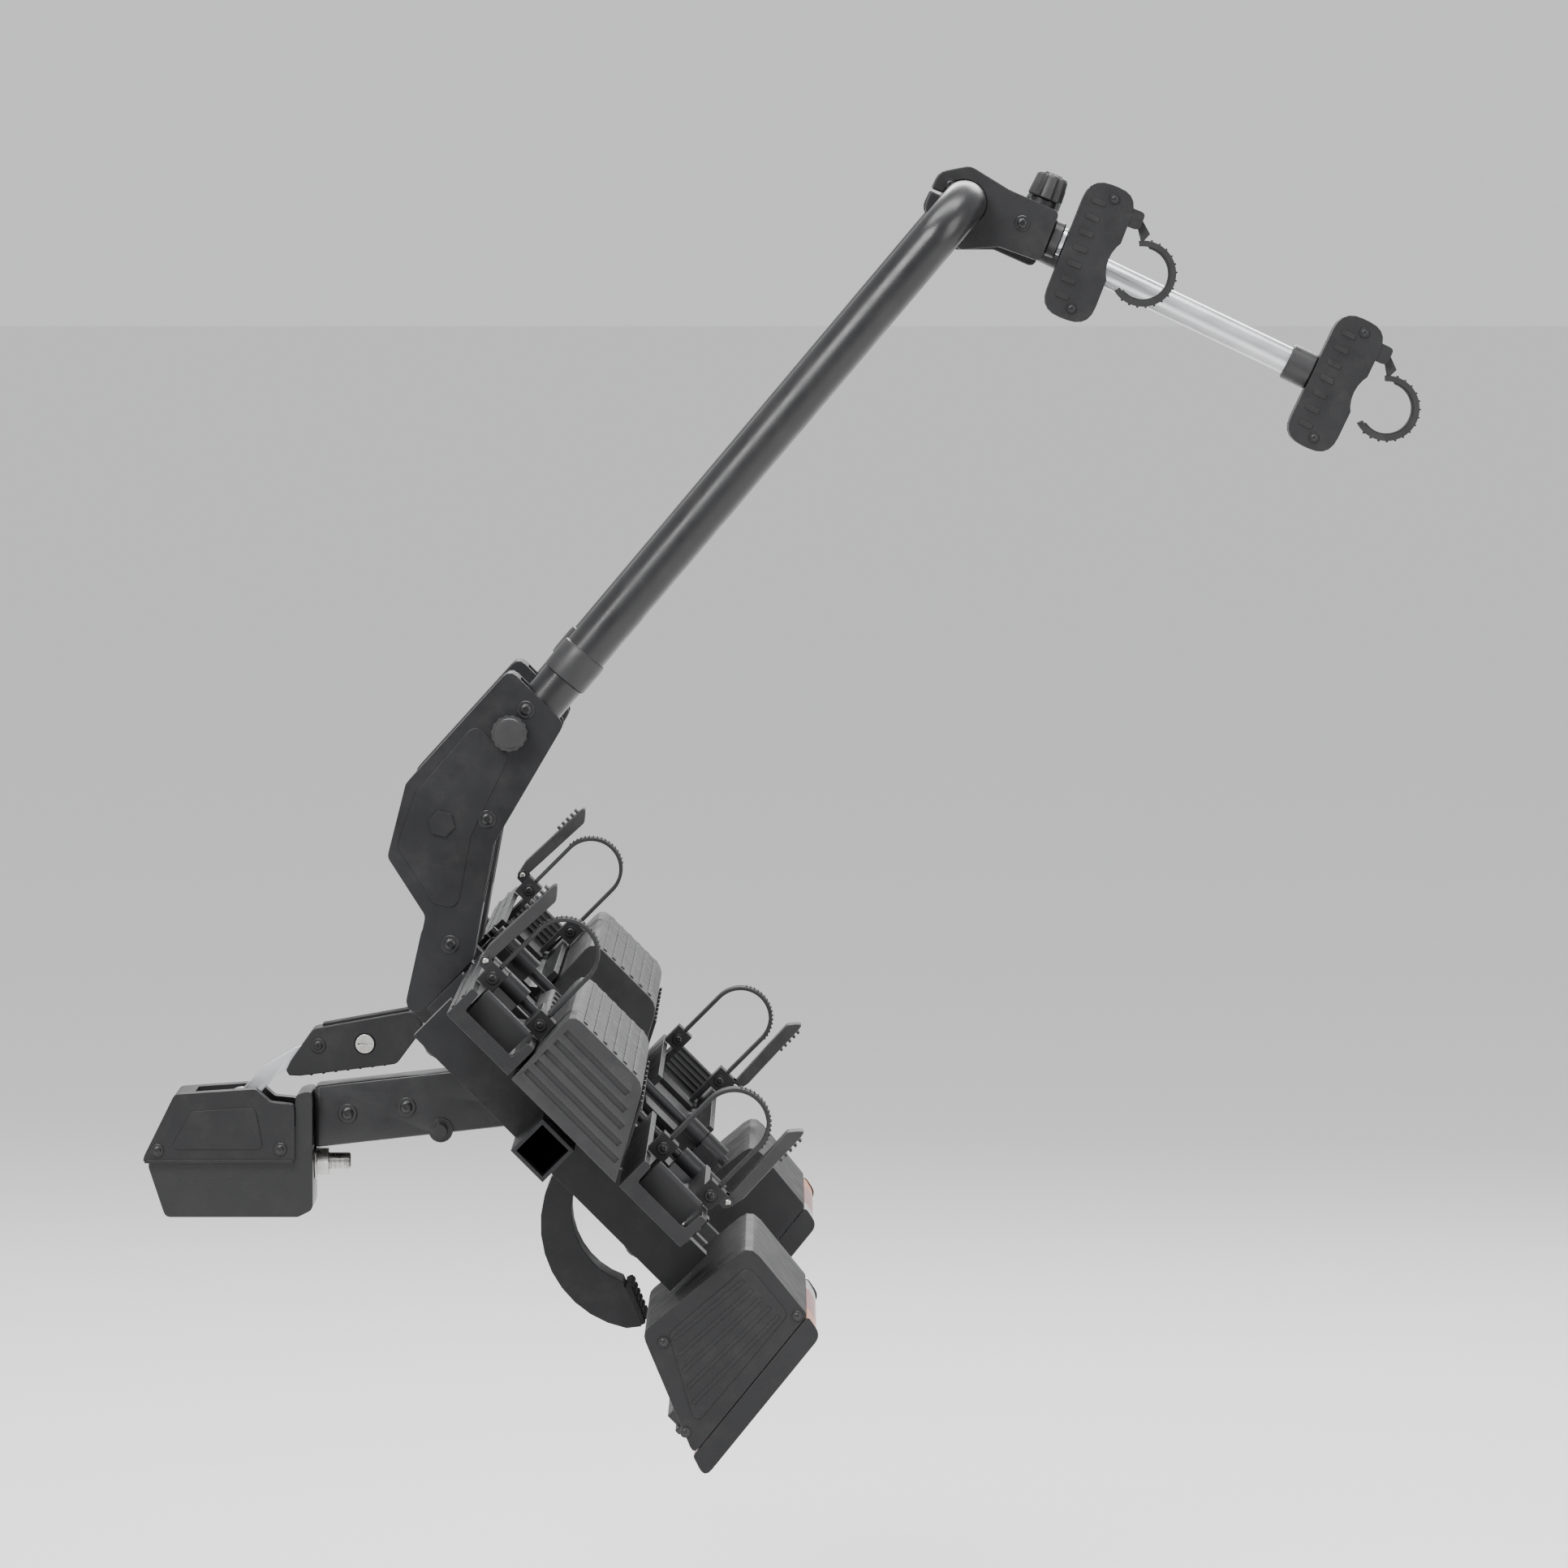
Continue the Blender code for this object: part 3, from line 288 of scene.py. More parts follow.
AXES = {
    "x": Matrix(((0, 0, 1, 0), (1, 0, 0, 0), (0, 1, 0, 0), (0, 0, 0, 1))),     # outline (y, z)
    "y": Matrix(((1, 0, 0, 0), (0, 0, -1, 0), (0, 1, 0, 0), (0, 0, 0, 1))),    # outline (x, z)
    "z": Matrix.Identity(4),                                                   # outline (x, y)
}


class Shape:
    """Collects closed shapes, drawn in one local frame, into a piece."""

    def __init__(self, matrix=WORLD):
        self.matrix = matrix
        self.bm = bmesh.new()

    def prism(self, outline, low, high, axis="y", radius=0.0, steps=5, matrix=WORLD):
        rounded = radius or len(outline[0]) > 2
        flat = fillet(outline, radius, steps) if rounded else [Vector(p) for p in outline]
        sign = -1 if axis == "y" else 1
        turn = matrix @ AXES[axis]
        ring = [self.bm.verts.new(turn @ Vector((p[0], p[1], sign * low))) for p in flat]
        face = self.bm.faces.new(ring)
        out = bmesh.ops.extrude_face_region(self.bm, geom=[face])["geom"]
        moved = [v for v in out if isinstance(v, bmesh.types.BMVert)]
        shift = turn.to_3x3() @ Vector((0, 0, sign * (high - low)))
        bmesh.ops.translate(self.bm, verts=moved, vec=shift)
        return self

    def box(self, low, high, matrix=WORLD):
        outline = [(low[0], low[2]), (high[0], low[2]), (high[0], high[2]), (low[0], high[2])]
        return self.prism(outline, low[1], high[1], "y", matrix=matrix)

    def lathe(self, profile, start, axis, steps=32, ring=False):
        """A profile of (distance along, radius) spun about an axis; a ring's profile is closed."""
        along = Vector(axis).normalized()
        turn = Vector((0, 0, 1)).rotation_difference(along).to_matrix()
        rings = []
        for distance, radius in profile:
            middle = Vector(start) + along * distance
            if radius < 1e-6:
                rings.append([self.bm.verts.new(middle)])
                continue
            rings.append([
                self.bm.verts.new(middle + turn @ Vector((radius * math.cos(a), radius * math.sin(a), 0)))
                for a in (2 * math.pi * k / steps for k in range(steps))
            ])
        for first, second in zip(rings, rings[1:] + rings[:1] if ring else rings[1:]):
            for k in range(steps):
                a, b = first[k % len(first)], first[(k + 1) % len(first)]
                c, d = second[(k + 1) % len(second)], second[k % len(second)]
                corners = list(dict.fromkeys((a, b, c, d)))
                if len(corners) > 2:
                    self.bm.faces.new(corners)
        for end in () if ring else (rings[0], rings[-1]):
            if len(end) > 1:
                self.bm.faces.new(end)
        return self

    def tube(self, points, radius, sides=20, flat=1.0):
        """A tube along a path; its frame is carried along without twist."""
        path = [Vector(p) for p in points]
        side = None
        rings = []
        for i, here in enumerate(path):
            tangent = (path[min(i + 1, len(path) - 1)] - path[max(i - 1, 0)]).normalized()
            if side is None:
                side = tangent.orthogonal().normalized()
            side = (side - tangent * side.dot(tangent)).normalized()
            up = tangent.cross(side)
            rings.append([
                self.bm.verts.new(here + radius * (side * math.cos(a) + up * math.sin(a) * flat))
                for a in (2 * math.pi * k / sides for k in range(sides))
            ])
        for first, second in zip(rings, rings[1:]):
            for k in range(sides):
                n = (k + 1) % sides
                self.bm.faces.new((first[k], first[n], second[n], second[k]))
        self.bm.faces.new(list(reversed(rings[0])))
        self.bm.faces.new(rings[-1])
        return self

    def bolt(self, centre, axis, radius=0.006, height=0.004, washer=True):
        """Button-headed screw with a round socket and a washer."""
        if washer:
            rim = [(0, radius * 1.5), (0.0010, radius * 1.5), (0.0014, radius * 1.4)]
            self.lathe(rim, centre, axis, 24)
        dome = [(0.001, radius), (height * 0.55, radius * 0.97), (height * 0.85, radius * 0.80),
                (height, radius * 0.58), (height, radius * 0.42), (height * 0.45, radius * 0.40),
                (height * 0.45, 0)]
        return self.lathe(dome, centre, axis, 24)

    def finish(self, name, body, slot, bevel=0.0, segments=2, replaces=(), material=None, angle=32):
        bmesh.ops.remove_doubles(self.bm, verts=self.bm.verts, dist=1e-6)
        bmesh.ops.recalc_face_normals(self.bm, faces=self.bm.faces)
        self.bm.transform(self.matrix)
        mesh = bpy.data.meshes.new(name)
        self.bm.to_mesh(mesh)
        self.bm.free()
        piece = bpy.data.objects.new(name, mesh)
        bpy.context.scene.collection.objects.link(piece)
        return dress(piece, body, slot, bevel, segments, replaces, material, angle)


def dress(piece, body, slot, bevel=0.0, segments=2, replaces=(), material=None, angle=32):
    piece.data.materials.clear()
    piece.data.materials.append(FINISHES[material or slot])
    piece.data.shade_smooth()
    piece.data.set_sharp_from_angle(angle=math.radians(angle))
    if bevel:
        edge = piece.modifiers.new("Bevel", "BEVEL")
        edge.width = bevel
        edge.segments = segments
        edge.limit_method = "ANGLE"
        edge.angle_limit = math.radians(30)
        edge.harden_normals = True
        edge.miter_outer = "MITER_ARC"
    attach(piece, body)
    if replaces:
        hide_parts(*replaces)
    return piece


BODY_OF = {node: body for body, nodes in frame["record"]["behaviour"]["bodies"].items() for node in nodes}
SLOT_OF = {part["node"]: part["material_slot"] for part in frame["record"]["subparts"]}


def refined(node, bevel=0.0012, segments=2, material=None):
    """A CAD node's own shape with its coplanar facets merged and its edges rounded."""
    bm = bmesh.new()
    bm.from_mesh(frame["nodes"][node].data)
    bmesh.ops.remove_doubles(bm, verts=bm.verts, dist=2e-6)
    bmesh.ops.dissolve_limit(bm, angle_limit=math.radians(1.0), verts=bm.verts, edges=bm.edges)
    mesh = bpy.data.meshes.new(f"{node}_body")
    bm.to_mesh(mesh)
    bm.free()
    piece = bpy.data.objects.new(f"{node}_body", mesh)
    bpy.context.scene.collection.objects.link(piece)
    return dress(piece, BODY_OF[node], SLOT_OF[node], bevel, segments, [node], material)


# ---------------------------------------------------------------- camera, floor and light
def make_stage():
    low, high = CAD_BOX
    middle = (Vector(low) + Vector(high)) / 2
    floor_z = -0.45
    bm = bmesh.new()
    bmesh.ops.create_grid(bm, x_segments=2, y_segments=2, size=200,
                          matrix=Matrix.Translation((middle.x, middle.y, floor_z)))
    mesh = bpy.data.meshes.new("floor")
    bm.to_mesh(mesh)
    bm.free()
    floor = bpy.data.objects.new("floor", mesh)
    bpy.context.scene.collection.objects.link(floor)
    paint = bpy.data.materials.new("floor_paint")
    paint.use_nodes = True
    shader = paint.node_tree.nodes["Principled BSDF"]
    shader.inputs["Base Color"].default_value = (0.86, 0.86, 0.855, 1)
    shader.inputs["Roughness"].default_value = 0.7
    mesh.materials.append(paint)

    world = bpy.data.worlds.new("studio")
    bpy.context.scene.world = world
    world.use_nodes = True
    world.node_tree.nodes["Background"].inputs["Color"].default_value = (0.96, 0.965, 0.97, 1)
    world.node_tree.nodes["Background"].inputs["Strength"].default_value = 0.85

    def area(name, place, size, power):
        light = bpy.data.lights.new(name, "AREA")
        light.shape = "RECTANGLE"
        light.size, light.size_y = size
        light.energy = power
        lamp = bpy.data.objects.new(name, light)
        bpy.context.scene.collection.objects.link(lamp)
        lamp.location = place
        lamp.rotation_euler = (middle - Vector(place)).to_track_quat("-Z", "Y").to_euler()

    area("key", (middle.x - 1.6, -3.2, 3.0), (2.4, 1.8), 230)
    area("fill", (middle.x + 3.0, -2.2, 1.4), (2.0, 2.4), 70)
    area("rim", (middle.x + 0.6, 3.2, 2.6), (3.0, 1.4), 120)
    area("top", (middle.x, -0.4, 3.4), (3.2, 1.2), 150)

    camera = bpy.data.objects.new("camera", bpy.data.cameras.new("camera"))
    bpy.context.scene.collection.objects.link(camera)
    distance, elevation = 8.0, math.radians(3.0)
    camera.location = middle + distance * Vector((0, -math.cos(elevation), math.sin(elevation)))
    camera.rotation_euler = (middle - camera.location).to_track_quat("-Z", "Y").to_euler()
    camera.data.lens = 225
    camera.data.sensor_width = 36
    bpy.context.scene.camera = camera


make_stage()


# ---------------------------------------------------------------- coupling, lever and beam
def make_coupling():
    refined("coupling_housing", 0.0015)
    refined("coupling_cover", 0.0028, 4)
    refined("ball_cup", 0)
    refined("main_beam", 0.0006)
    refined("tilt_shaft", 0.0009)
    refined("clamp_jaw", 0.0008)
    half = 0.045
    screws = Shape()
    for side in (-1, 1):
        for x, z in ((-0.0260, 0.0150), (0.0740, 0.0160)):
            screws.bolt((x, side * half, z), (0, side, 0), 0.0036, 0.0022)
    screws.finish("cover_screws", "coupling", "black_steel")
    ribs = Shape()
    for side in (-1, 1):
        ribs.prism([(-0.0160, 0.0160), (0.0600, 0.0160), (0.0540, 0.0500), (0.0020, 0.0470)],
                   side * (half - 0.001), side * (half + 0.0010), radius=0.005)
        ribs.prism([(-0.0365, 0.0045), (0.0845, 0.0045), (0.0845, 0.0075), (-0.0345, 0.0075)],
                   side * (half - 0.001), side * (half + 0.0010))
    ribs.finish("cover_ribs", "coupling", "cover_plastic", 0.0004)

    nut = Shape(Matrix.Translation((0, 0, 0.0025)))
    nut.lathe([(0.1003, 0.0150), (0.1018, 0.0150), (0.1020, 0.0146)], (0, 0, 0), (1, 0, 0), 40)
    corners = [math.radians(60 * k) for k in range(6)]
    hexagon = [(0.0124 * math.cos(angle), 0.0124 * math.sin(angle)) for angle in corners]
    nut.prism(hexagon, 0.1018, 0.1118, "x")
    thread = [(0.1118 + 0.0005 * k, 0.0075 if k % 2 else 0.0068) for k in range(35)]
    nut.lathe(thread + [(0.1296, 0.0060)], (0, 0, 0), (1, 0, 0), 32)
    nut.finish("adjuster_nut_body", "coupling", "bright_steel", 0.0005, replaces=["adjuster_nut"])

    pivot = point("tilt")
    beam = Shape()
    for side in (-1, 1):
        bush = [(0.0250, 0.0215), (0.0268, 0.0215), (0.0272, 0.0210), (0.0272, 0.0095), (0.0250, 0.0095)]
        beam.lathe(bush, pivot, (0, side, 0), 48, ring=True)
    beam.finish("beam_eye_bushes", "coupling", "bright_steel")
    plugs = Shape()
    for side in (-1, 1):
        for x in (0.128, 0.176):
            plugs.bolt((x, side * 0.025, 0.0405 + (x - 0.1003) * 0.111), (0, side, 0), 0.0052, 0.0030)
    plugs.finish("beam_bolts", "coupling", "black_steel")


def make_lever():
    refined("lever_arm", 0.0010, 3)
    refined("lever_grip", 0.0040, 4)
    refined("lever_lock", 0.0004)
    ridges = Shape()
    toe, heel = Vector((0.098, 0.0752)), Vector((0.158, 0.0830))
    for k in range(7):
        here = toe.lerp(heel, k / 6)
        ridges.lathe([(-0.0145, 0.0), (-0.0140, 0.0016), (0.0140, 0.0016), (0.0145, 0.0)],
                     (here.x, 0, here.y), (0, 1, 0), 12)
    ridges.finish("lever_finger_ridges", "lever", "grip_rubber")
    pad = Shape()
    outline = [(0.108, 0.1135), (0.178, 0.1256), (0.1772, 0.1283), (0.1068, 0.1158)]
    pad.prism(outline, -0.0120, 0.0120, radius=0.0006)
    pad.finish("lever_grip_pad", "lever", "grip_rubber", 0.0004)
    pin = Shape()
    for side in (-1, 1):
        pin.bolt((0.104, side * 0.019, 0.0985), (0, side, 0), 0.0040, 0.0024)
    pin.finish("lever_grip_screws", "lever", "cover_plastic")


make_coupling()
make_lever()


# ---------------------------------------------------------------- tilting chassis
def make_chassis():
    for name, side in SIDES.items():
        refined(f"main_rail_{name}", 0.0012)
        refined(f"outrigger_{name}", 0.0010)
        refined(f"mast_bracket_{name}", 0.0020, 3)
    refined("front_cross_bar", 0.0008)
    refined("centre_cover", 0.0014, 3)
    refined("plate_holder", 0)
    refined("tilt_latch", 0.0008)

    low, high = local_box("rear_cross_tube", DECK)
    radius, middle = (high.z - low.z) / 2, (low + high) / 2
    drum = Shape(DECK)
    profile = [(low.y, radius - 0.0010), (low.y + 0.0010, radius), (high.y - 0.0010, radius),
               (high.y, radius - 0.0010), (high.y, radius - 0.0040), (low.y, radius - 0.0040)]
    drum.lathe(profile, (middle.x, 0, middle.z), (0, 1, 0), 64, ring=True)
    drum.finish("rear_cross_tube_body", "chassis", "black_steel", replaces=["rear_cross_tube"])

    cheek = 0.1540                            # distance of a bracket's outer face from the centre plane
    bolts = Shape(DECK)
    panels = Shape(DECK)
    for name, side in SIDES.items():
        low, high = local_box(f"main_rail_{name}", DECK)
        face = max(abs(low.y), abs(high.y))
        for u, w in ((0.132, 0.004), (-0.130, 0.018)):
            bolts.bolt((u, side * face, w), (0, side, 0), 0.0055, 0.0032)
        low, high = local_box(f"outrigger_{name}", DECK)
        plate = max(abs(low.y), abs(high.y))
        for u in (-0.098, -0.082, 0.073, 0.089):
            bolts.bolt((u, side * plate, -0.004), (0, side, 0), 0.0036, 0.0022)
        for u, w in ((-0.146, 0.036), (-0.236, 0.212), (-0.196, 0.128)):
            bolts.bolt((u, side * cheek, w), (0, side, 0), 0.0048, 0.0028)
        panels.prism([(-0.232, 0.062), (-0.252, 0.104), (-0.257, 0.176), (-0.219, 0.176), (-0.196, 0.110),
                      (-0.162, 0.060), (-0.178, 0.050)],
                     side * (cheek - 0.001), side * (cheek + 0.0011), radius=0.010)
    bolts.finish("chassis_bolts", "chassis", "black_steel")
    panels.finish("bracket_panels", "chassis", "black_aluminium", 0.0006)

    deck = Shape(DECK)
    for v in (-0.125, -0.075, -0.025, 0.025, 0.075, 0.125):
        deck.bolt((0.0, v, 0.0498), (0, 0, 1), 0.0032, 0.0016)
    deck.finish("centre_cover_screws", "chassis", "black_steel")


def make_plate():
    """Blank plate in its surround, with its screws."""
    rear = local_box("plate_holder", DECK)[1].x
    plate = Shape(DECK)
    plate.prism([(-0.250, -0.0935, 0.008), (0.250, -0.0935, 0.008), (0.250, 0.001, 0.008),
                 (-0.250, 0.001, 0.008)],
                rear - 0.0002, rear + 0.0012, "x", radius=0.008)
    plate.finish("plate_blank_sheet", "chassis", "trim_plastic", 0.0003, material="plate_blank")
    rim = Shape(DECK)
    outline = ((-0.2605, -0.0988, -0.2505, 0.0105), (0.2505, -0.0988, 0.2605, 0.0105),
               (-0.2505, -0.0988, 0.2505, -0.0935), (-0.2505, 0.0015, 0.2505, 0.0105))
    for v0, w0, v1, w1 in outline:
        rim.box((rear - 0.0005, v0, w0), (rear + 0.0030, v1, w1))
    rim.finish("plate_surround", "chassis", "trim_plastic", 0.0008)
    screws = Shape(DECK)
    for v in (-0.180, 0.180):
        screws.bolt((rear + 0.0012, v, -0.046), (1, 0, 0), 0.0040, 0.0020)
    screws.finish("plate_screws", "chassis", "bright_steel")


def make_mast_lock():
    low, high = local_box("mast_lock_pin", DECK)
    centre = ((low.x + high.x) / 2, 0, (low.z + high.z) / 2)
    pin = Shape(DECK)
    pin.lathe([(-high.y, 0.0052), (-high.y + 0.001, 0.0060), (0.1560, 0.0060)], centre, (0, -1, 0), 28)
    start, end = 0.1545, -low.y
    rim = [(math.cos(math.radians(a)), math.sin(math.radians(a))) for a in range(0, 360, 6)]
    reach = [0.0138 + 0.0007 * (k % 4 < 2) for k in range(len(rim))]
    lobes = [(r * x + centre[0], r * z + centre[2]) for r, (x, z) in zip(reach, rim)]
    pin.prism(lobes, -(end - 0.0012), -(start + 0.004), "y")
    pin.lathe([(start, 0.0108), (start + 0.0042, 0.0128)], centre, (0, -1, 0), 36)
    dome = [(end - 0.0014, 0.0125), (end - 0.0004, 0.0115), (end, 0.0090), (end, 0.0)]
    pin.lathe(dome, centre, (0, -1, 0), 36)
    pin.finish("mast_lock_pin_body", "mast_lock", "trim_plastic", replaces=["mast_lock_pin"])


def make_pedal():
    refined("pedal_arm", 0.0014)
    refined("pedal_pad", 0.0010)
    inner, tip = Vector((0.1512, -0.0687)), Vector((0.1880, -0.0840))
    up = Vector((inner.y - tip.y, tip.x - inner.x)).normalized()
    along = (tip - inner).normalized()
    tread = Shape(DECK)
    for k in range(6):
        here = inner.lerp(tip, 0.18 + 0.13 * k) + up * 0.0052
        a, b = here - along * 0.0016, here + along * 0.0016
        tread.prism([(a.x, a.y), (b.x, b.y), (b.x + up.x * 0.0018, b.y + up.y * 0.0018),
                     (a.x + up.x * 0.0018, a.y + up.y * 0.0018)], -0.0420, 0.0420)
    tread.finish("pedal_tread", "pedal", "grip_rubber", 0.0005)


make_chassis()
make_plate()
make_mast_lock()
make_pedal()


# ---------------------------------------------------------------- mast and arms
def make_mast():
    radius, bend = 0.018, 0.045
    barrel = 0.0195                           # half length of the hinge barrel on each foot
    half = local_box("mast_tube", MAST)[1].y - barrel
    path = [Vector((0, -half, 0.0085)), Vector((0, -half, 0.30))]
    path += [Vector((0, v, w)) for v, w in arc((-half + bend, MAST_HEIGHT - bend), bend, 180, 90, 16)]
    path += [Vector((0, v, w)) for v, w in arc((half - bend, MAST_HEIGHT - bend), bend, 90, 0, 16)]
    path += [Vector((0, half, 0.30)), Vector((0, half, 0.0085))]
    mast = Shape(MAST)
    mast.tube(path, radius, 40)
    for side in (-1, 1):
        ring = [(-0.0195, 0.0190), (-0.0185, 0.0200), (0.0185, 0.0200), (0.0195, 0.0190), (0.0195, 0.0064),
                (-0.0195, 0.0064)]
        mast.lathe(ring, (0, side * half, 0), (0, 1, 0), 44, ring=True)
    mast.finish("mast_tube_body", "mast", "black_steel", replaces=["mast_tube"])
    trim = Shape(MAST)
    for side in (-1, 1):
        sleeve = [(0.150, 0.0181), (0.151, 0.0196), (0.156, 0.0200), (0.172, 0.0200), (0.177, 0.0196),
                  (0.178, 0.0181)]
        trim.lathe(sleeve, (0, side * half, 0), (0, 0, 1), 40)
    trim.finish("mast_sleeves", "mast", "trim_plastic")


def make_arm(name):
    matrix = arm_frame(name)
    refined(f"arm_clamp_{name}", 0.0018, 3)
    refined(f"arm_jaw_{name}", 0.0022, 3)
    body = f"arm_{name}"

    low, high = local_box(f"arm_bar_{name}", matrix)
    radius = 0.0115
    bar = Shape(matrix)
    profile = [(low.x, radius - 0.0008), (low.x + 0.0008, radius), (high.x - 0.0008, radius),
               (high.x, radius - 0.0008)]
    bar.lathe(profile, (0, 0, 0), (1, 0, 0), 40)
    bar.finish(f"arm_bar_{name}_body", body, "bright_aluminium", replaces=[f"arm_bar_{name}"])
    collars = Shape(matrix)
    spans = [(low.x, 0.0090)] if name == "short" else [(low.x, 0.022), (high.x - 0.022, 0.022)]
    for start, wide in spans:
        end = start + wide
        collar = [(start, 0.0116), (start, 0.0140), (start + 0.0012, 0.0152), (end - 0.0012, 0.0152),
                  (end, 0.0140), (end, 0.0116)]
        collars.lathe(collar, (0, 0, 0), (1, 0, 0), 40)
    collars.finish(f"arm_collars_{name}", body, "trim_plastic")

    low, high = local_box(f"arm_jaw_{name}", matrix)
    ribs = Shape(matrix)
    for side in (-1, 1):
        for k in range(7):
            z = -0.0405 + 0.0135 * k
            near = low.x + 0.0070
            far = near + 0.0120
            ribs.prism([(near, z - 0.0022), (far, z - 0.0022), (far, z + 0.0022), (near, z + 0.0022)],
                       side * 0.0155, side * 0.0169, radius=0.0015)
    ribs.finish(f"arm_jaw_ribs_{name}", body, "grip_rubber", 0.0004)
    screws = Shape(matrix)
    for side in (-1, 1):
        screws.bolt((0.050, side * 0.019, 0.002), (0, side, 0), 0.0042, 0.0028)
        screws.bolt((-0.016, side * 0.019, 0.010), (0, side, 0), 0.0030, 0.0020)
        screws.bolt((-0.016, side * 0.019, -0.010), (0, side, 0), 0.0030, 0.0020)
        screws.bolt((low.x + 0.024, side * 0.016, 0.0475), (0, side, 0), 0.0028, 0.0018)
        screws.bolt((low.x + 0.024, side * 0.016, -0.0475), (0, side, 0), 0.0028, 0.0018)
    screws.finish(f"arm_screws_{name}", body, "black_steel")

    low, high = local_box(f"arm_knob_{name}", matrix)
    middle = (low + high) / 2
    knob = Shape(matrix @ Matrix.Translation((middle.x, middle.y, 0)))
    layers = [(low.z, 0.0140), (low.z + 0.0010, 0.0149), (high.z - 0.0035, 0.0134),
              (high.z - 0.0012, 0.0122), (high.z, 0.0098)]
    turns = 72
    rings = []
    for z, radius in layers:
        ring = []
        for k in range(turns):
            angle = 2 * math.pi * k / turns
            dip = max(0.0, math.cos(6 * angle)) ** 1.5
            reach = radius - 0.0025 * dip
            ring.append(knob.bm.verts.new((reach * math.cos(angle), reach * math.sin(angle), z)))
        rings.append(ring)
    for first, second in zip(rings, rings[1:]):
        for k in range(turns):
            n = (k + 1) % turns
            knob.bm.faces.new((first[k], first[n], second[n], second[k]))
    knob.bm.faces.new(rings[0])
    knob.bm.faces.new(rings[-1])
    knob.finish(f"arm_knob_{name}_body", f"knob_{name}", "trim_plastic", replaces=[f"arm_knob_{name}"],
                angle=40)
    cap = Shape(matrix @ Matrix.Translation((middle.x, middle.y, 0)))
    button = [(high.z - 0.001, 0.0072), (high.z + 0.0006, 0.0070), (high.z + 0.0009, 0.0062),
              (high.z + 0.0009, 0)]
    cap.lathe(button, (0, 0, 0), (0, 0, 1), 32)
    cap.finish(f"arm_knob_cap_{name}", f"knob_{name}", "cover_plastic")

    make_claw(name, matrix)


def make_claw(name, matrix):
    """Rubber-toothed loop round the frame tube, on its hinge at the top of the jaw block."""
    cad_ring, ring, inner = 0.028, 0.0268, 0.022
    centre = (local_box(f"arm_strap_{name}", matrix)[1].x - cad_ring, 0.0)
    hinge = (centre[0] - 0.0224, 0.0385)
    strap = Shape(matrix)
    outline = list(arc(centre, ring, 118, -128, 48)) + list(arc(centre, inner, -128, 118, 48))
    strap.prism(outline, -0.0093, 0.0093)
    knuckle = [(-0.0097, 0.0056), (-0.0091, 0.0062), (0.0091, 0.0062), (0.0097, 0.0056), (0.0097, 0.0035),
               (-0.0097, 0.0035)]
    strap.lathe(knuckle, (hinge[0], 0, hinge[1]), (0, 1, 0), 32, ring=True)
    web = ((0.0036, -0.0036), (0.0048, 0.0026), (0.0160, -0.0068), (0.0125, -0.0160))
    strap.prism([(hinge[0] + x, hinge[1] + z) for x, z in web], -0.0085, 0.0085)
    strap.finish(f"arm_strap_{name}_body", f"claw_{name}", "strap_rubber", 0.0007,
                 replaces=[f"arm_strap_{name}"])
    teeth = Shape(matrix)
    for k in range(15):
        angle = math.radians(96 - 14.5 * k)
        wide = math.radians(2.2)
        corners = [(centre[0] + r * math.cos(a), centre[1] + r * math.sin(a))
                   for r, a in ((ring - 0.0006, angle - wide), (ring + 0.0012, angle - 0.5 * wide),
                                (ring + 0.0012, angle + 0.5 * wide), (ring - 0.0006, angle + wide))]
        teeth.prism(corners, -0.0070, 0.0070)
    teeth.finish(f"claw_teeth_{name}", f"claw_{name}", "strap_rubber")
    pad = Shape(matrix)
    spans = ((inner + 0.0004, range(100, -121, -6)), (inner - 0.0014, range(-120, 101, 6)))
    outline = [(centre[0] + r * math.cos(math.radians(a)), centre[1] + r * math.sin(math.radians(a)))
               for r, span in spans for a in span]
    pad.prism(outline, -0.0088, 0.0088)
    pad.finish(f"claw_pad_{name}", f"claw_{name}", "grip_rubber", 0.0003)


make_mast()
for arm_name in ARMS:
    make_arm(arm_name)


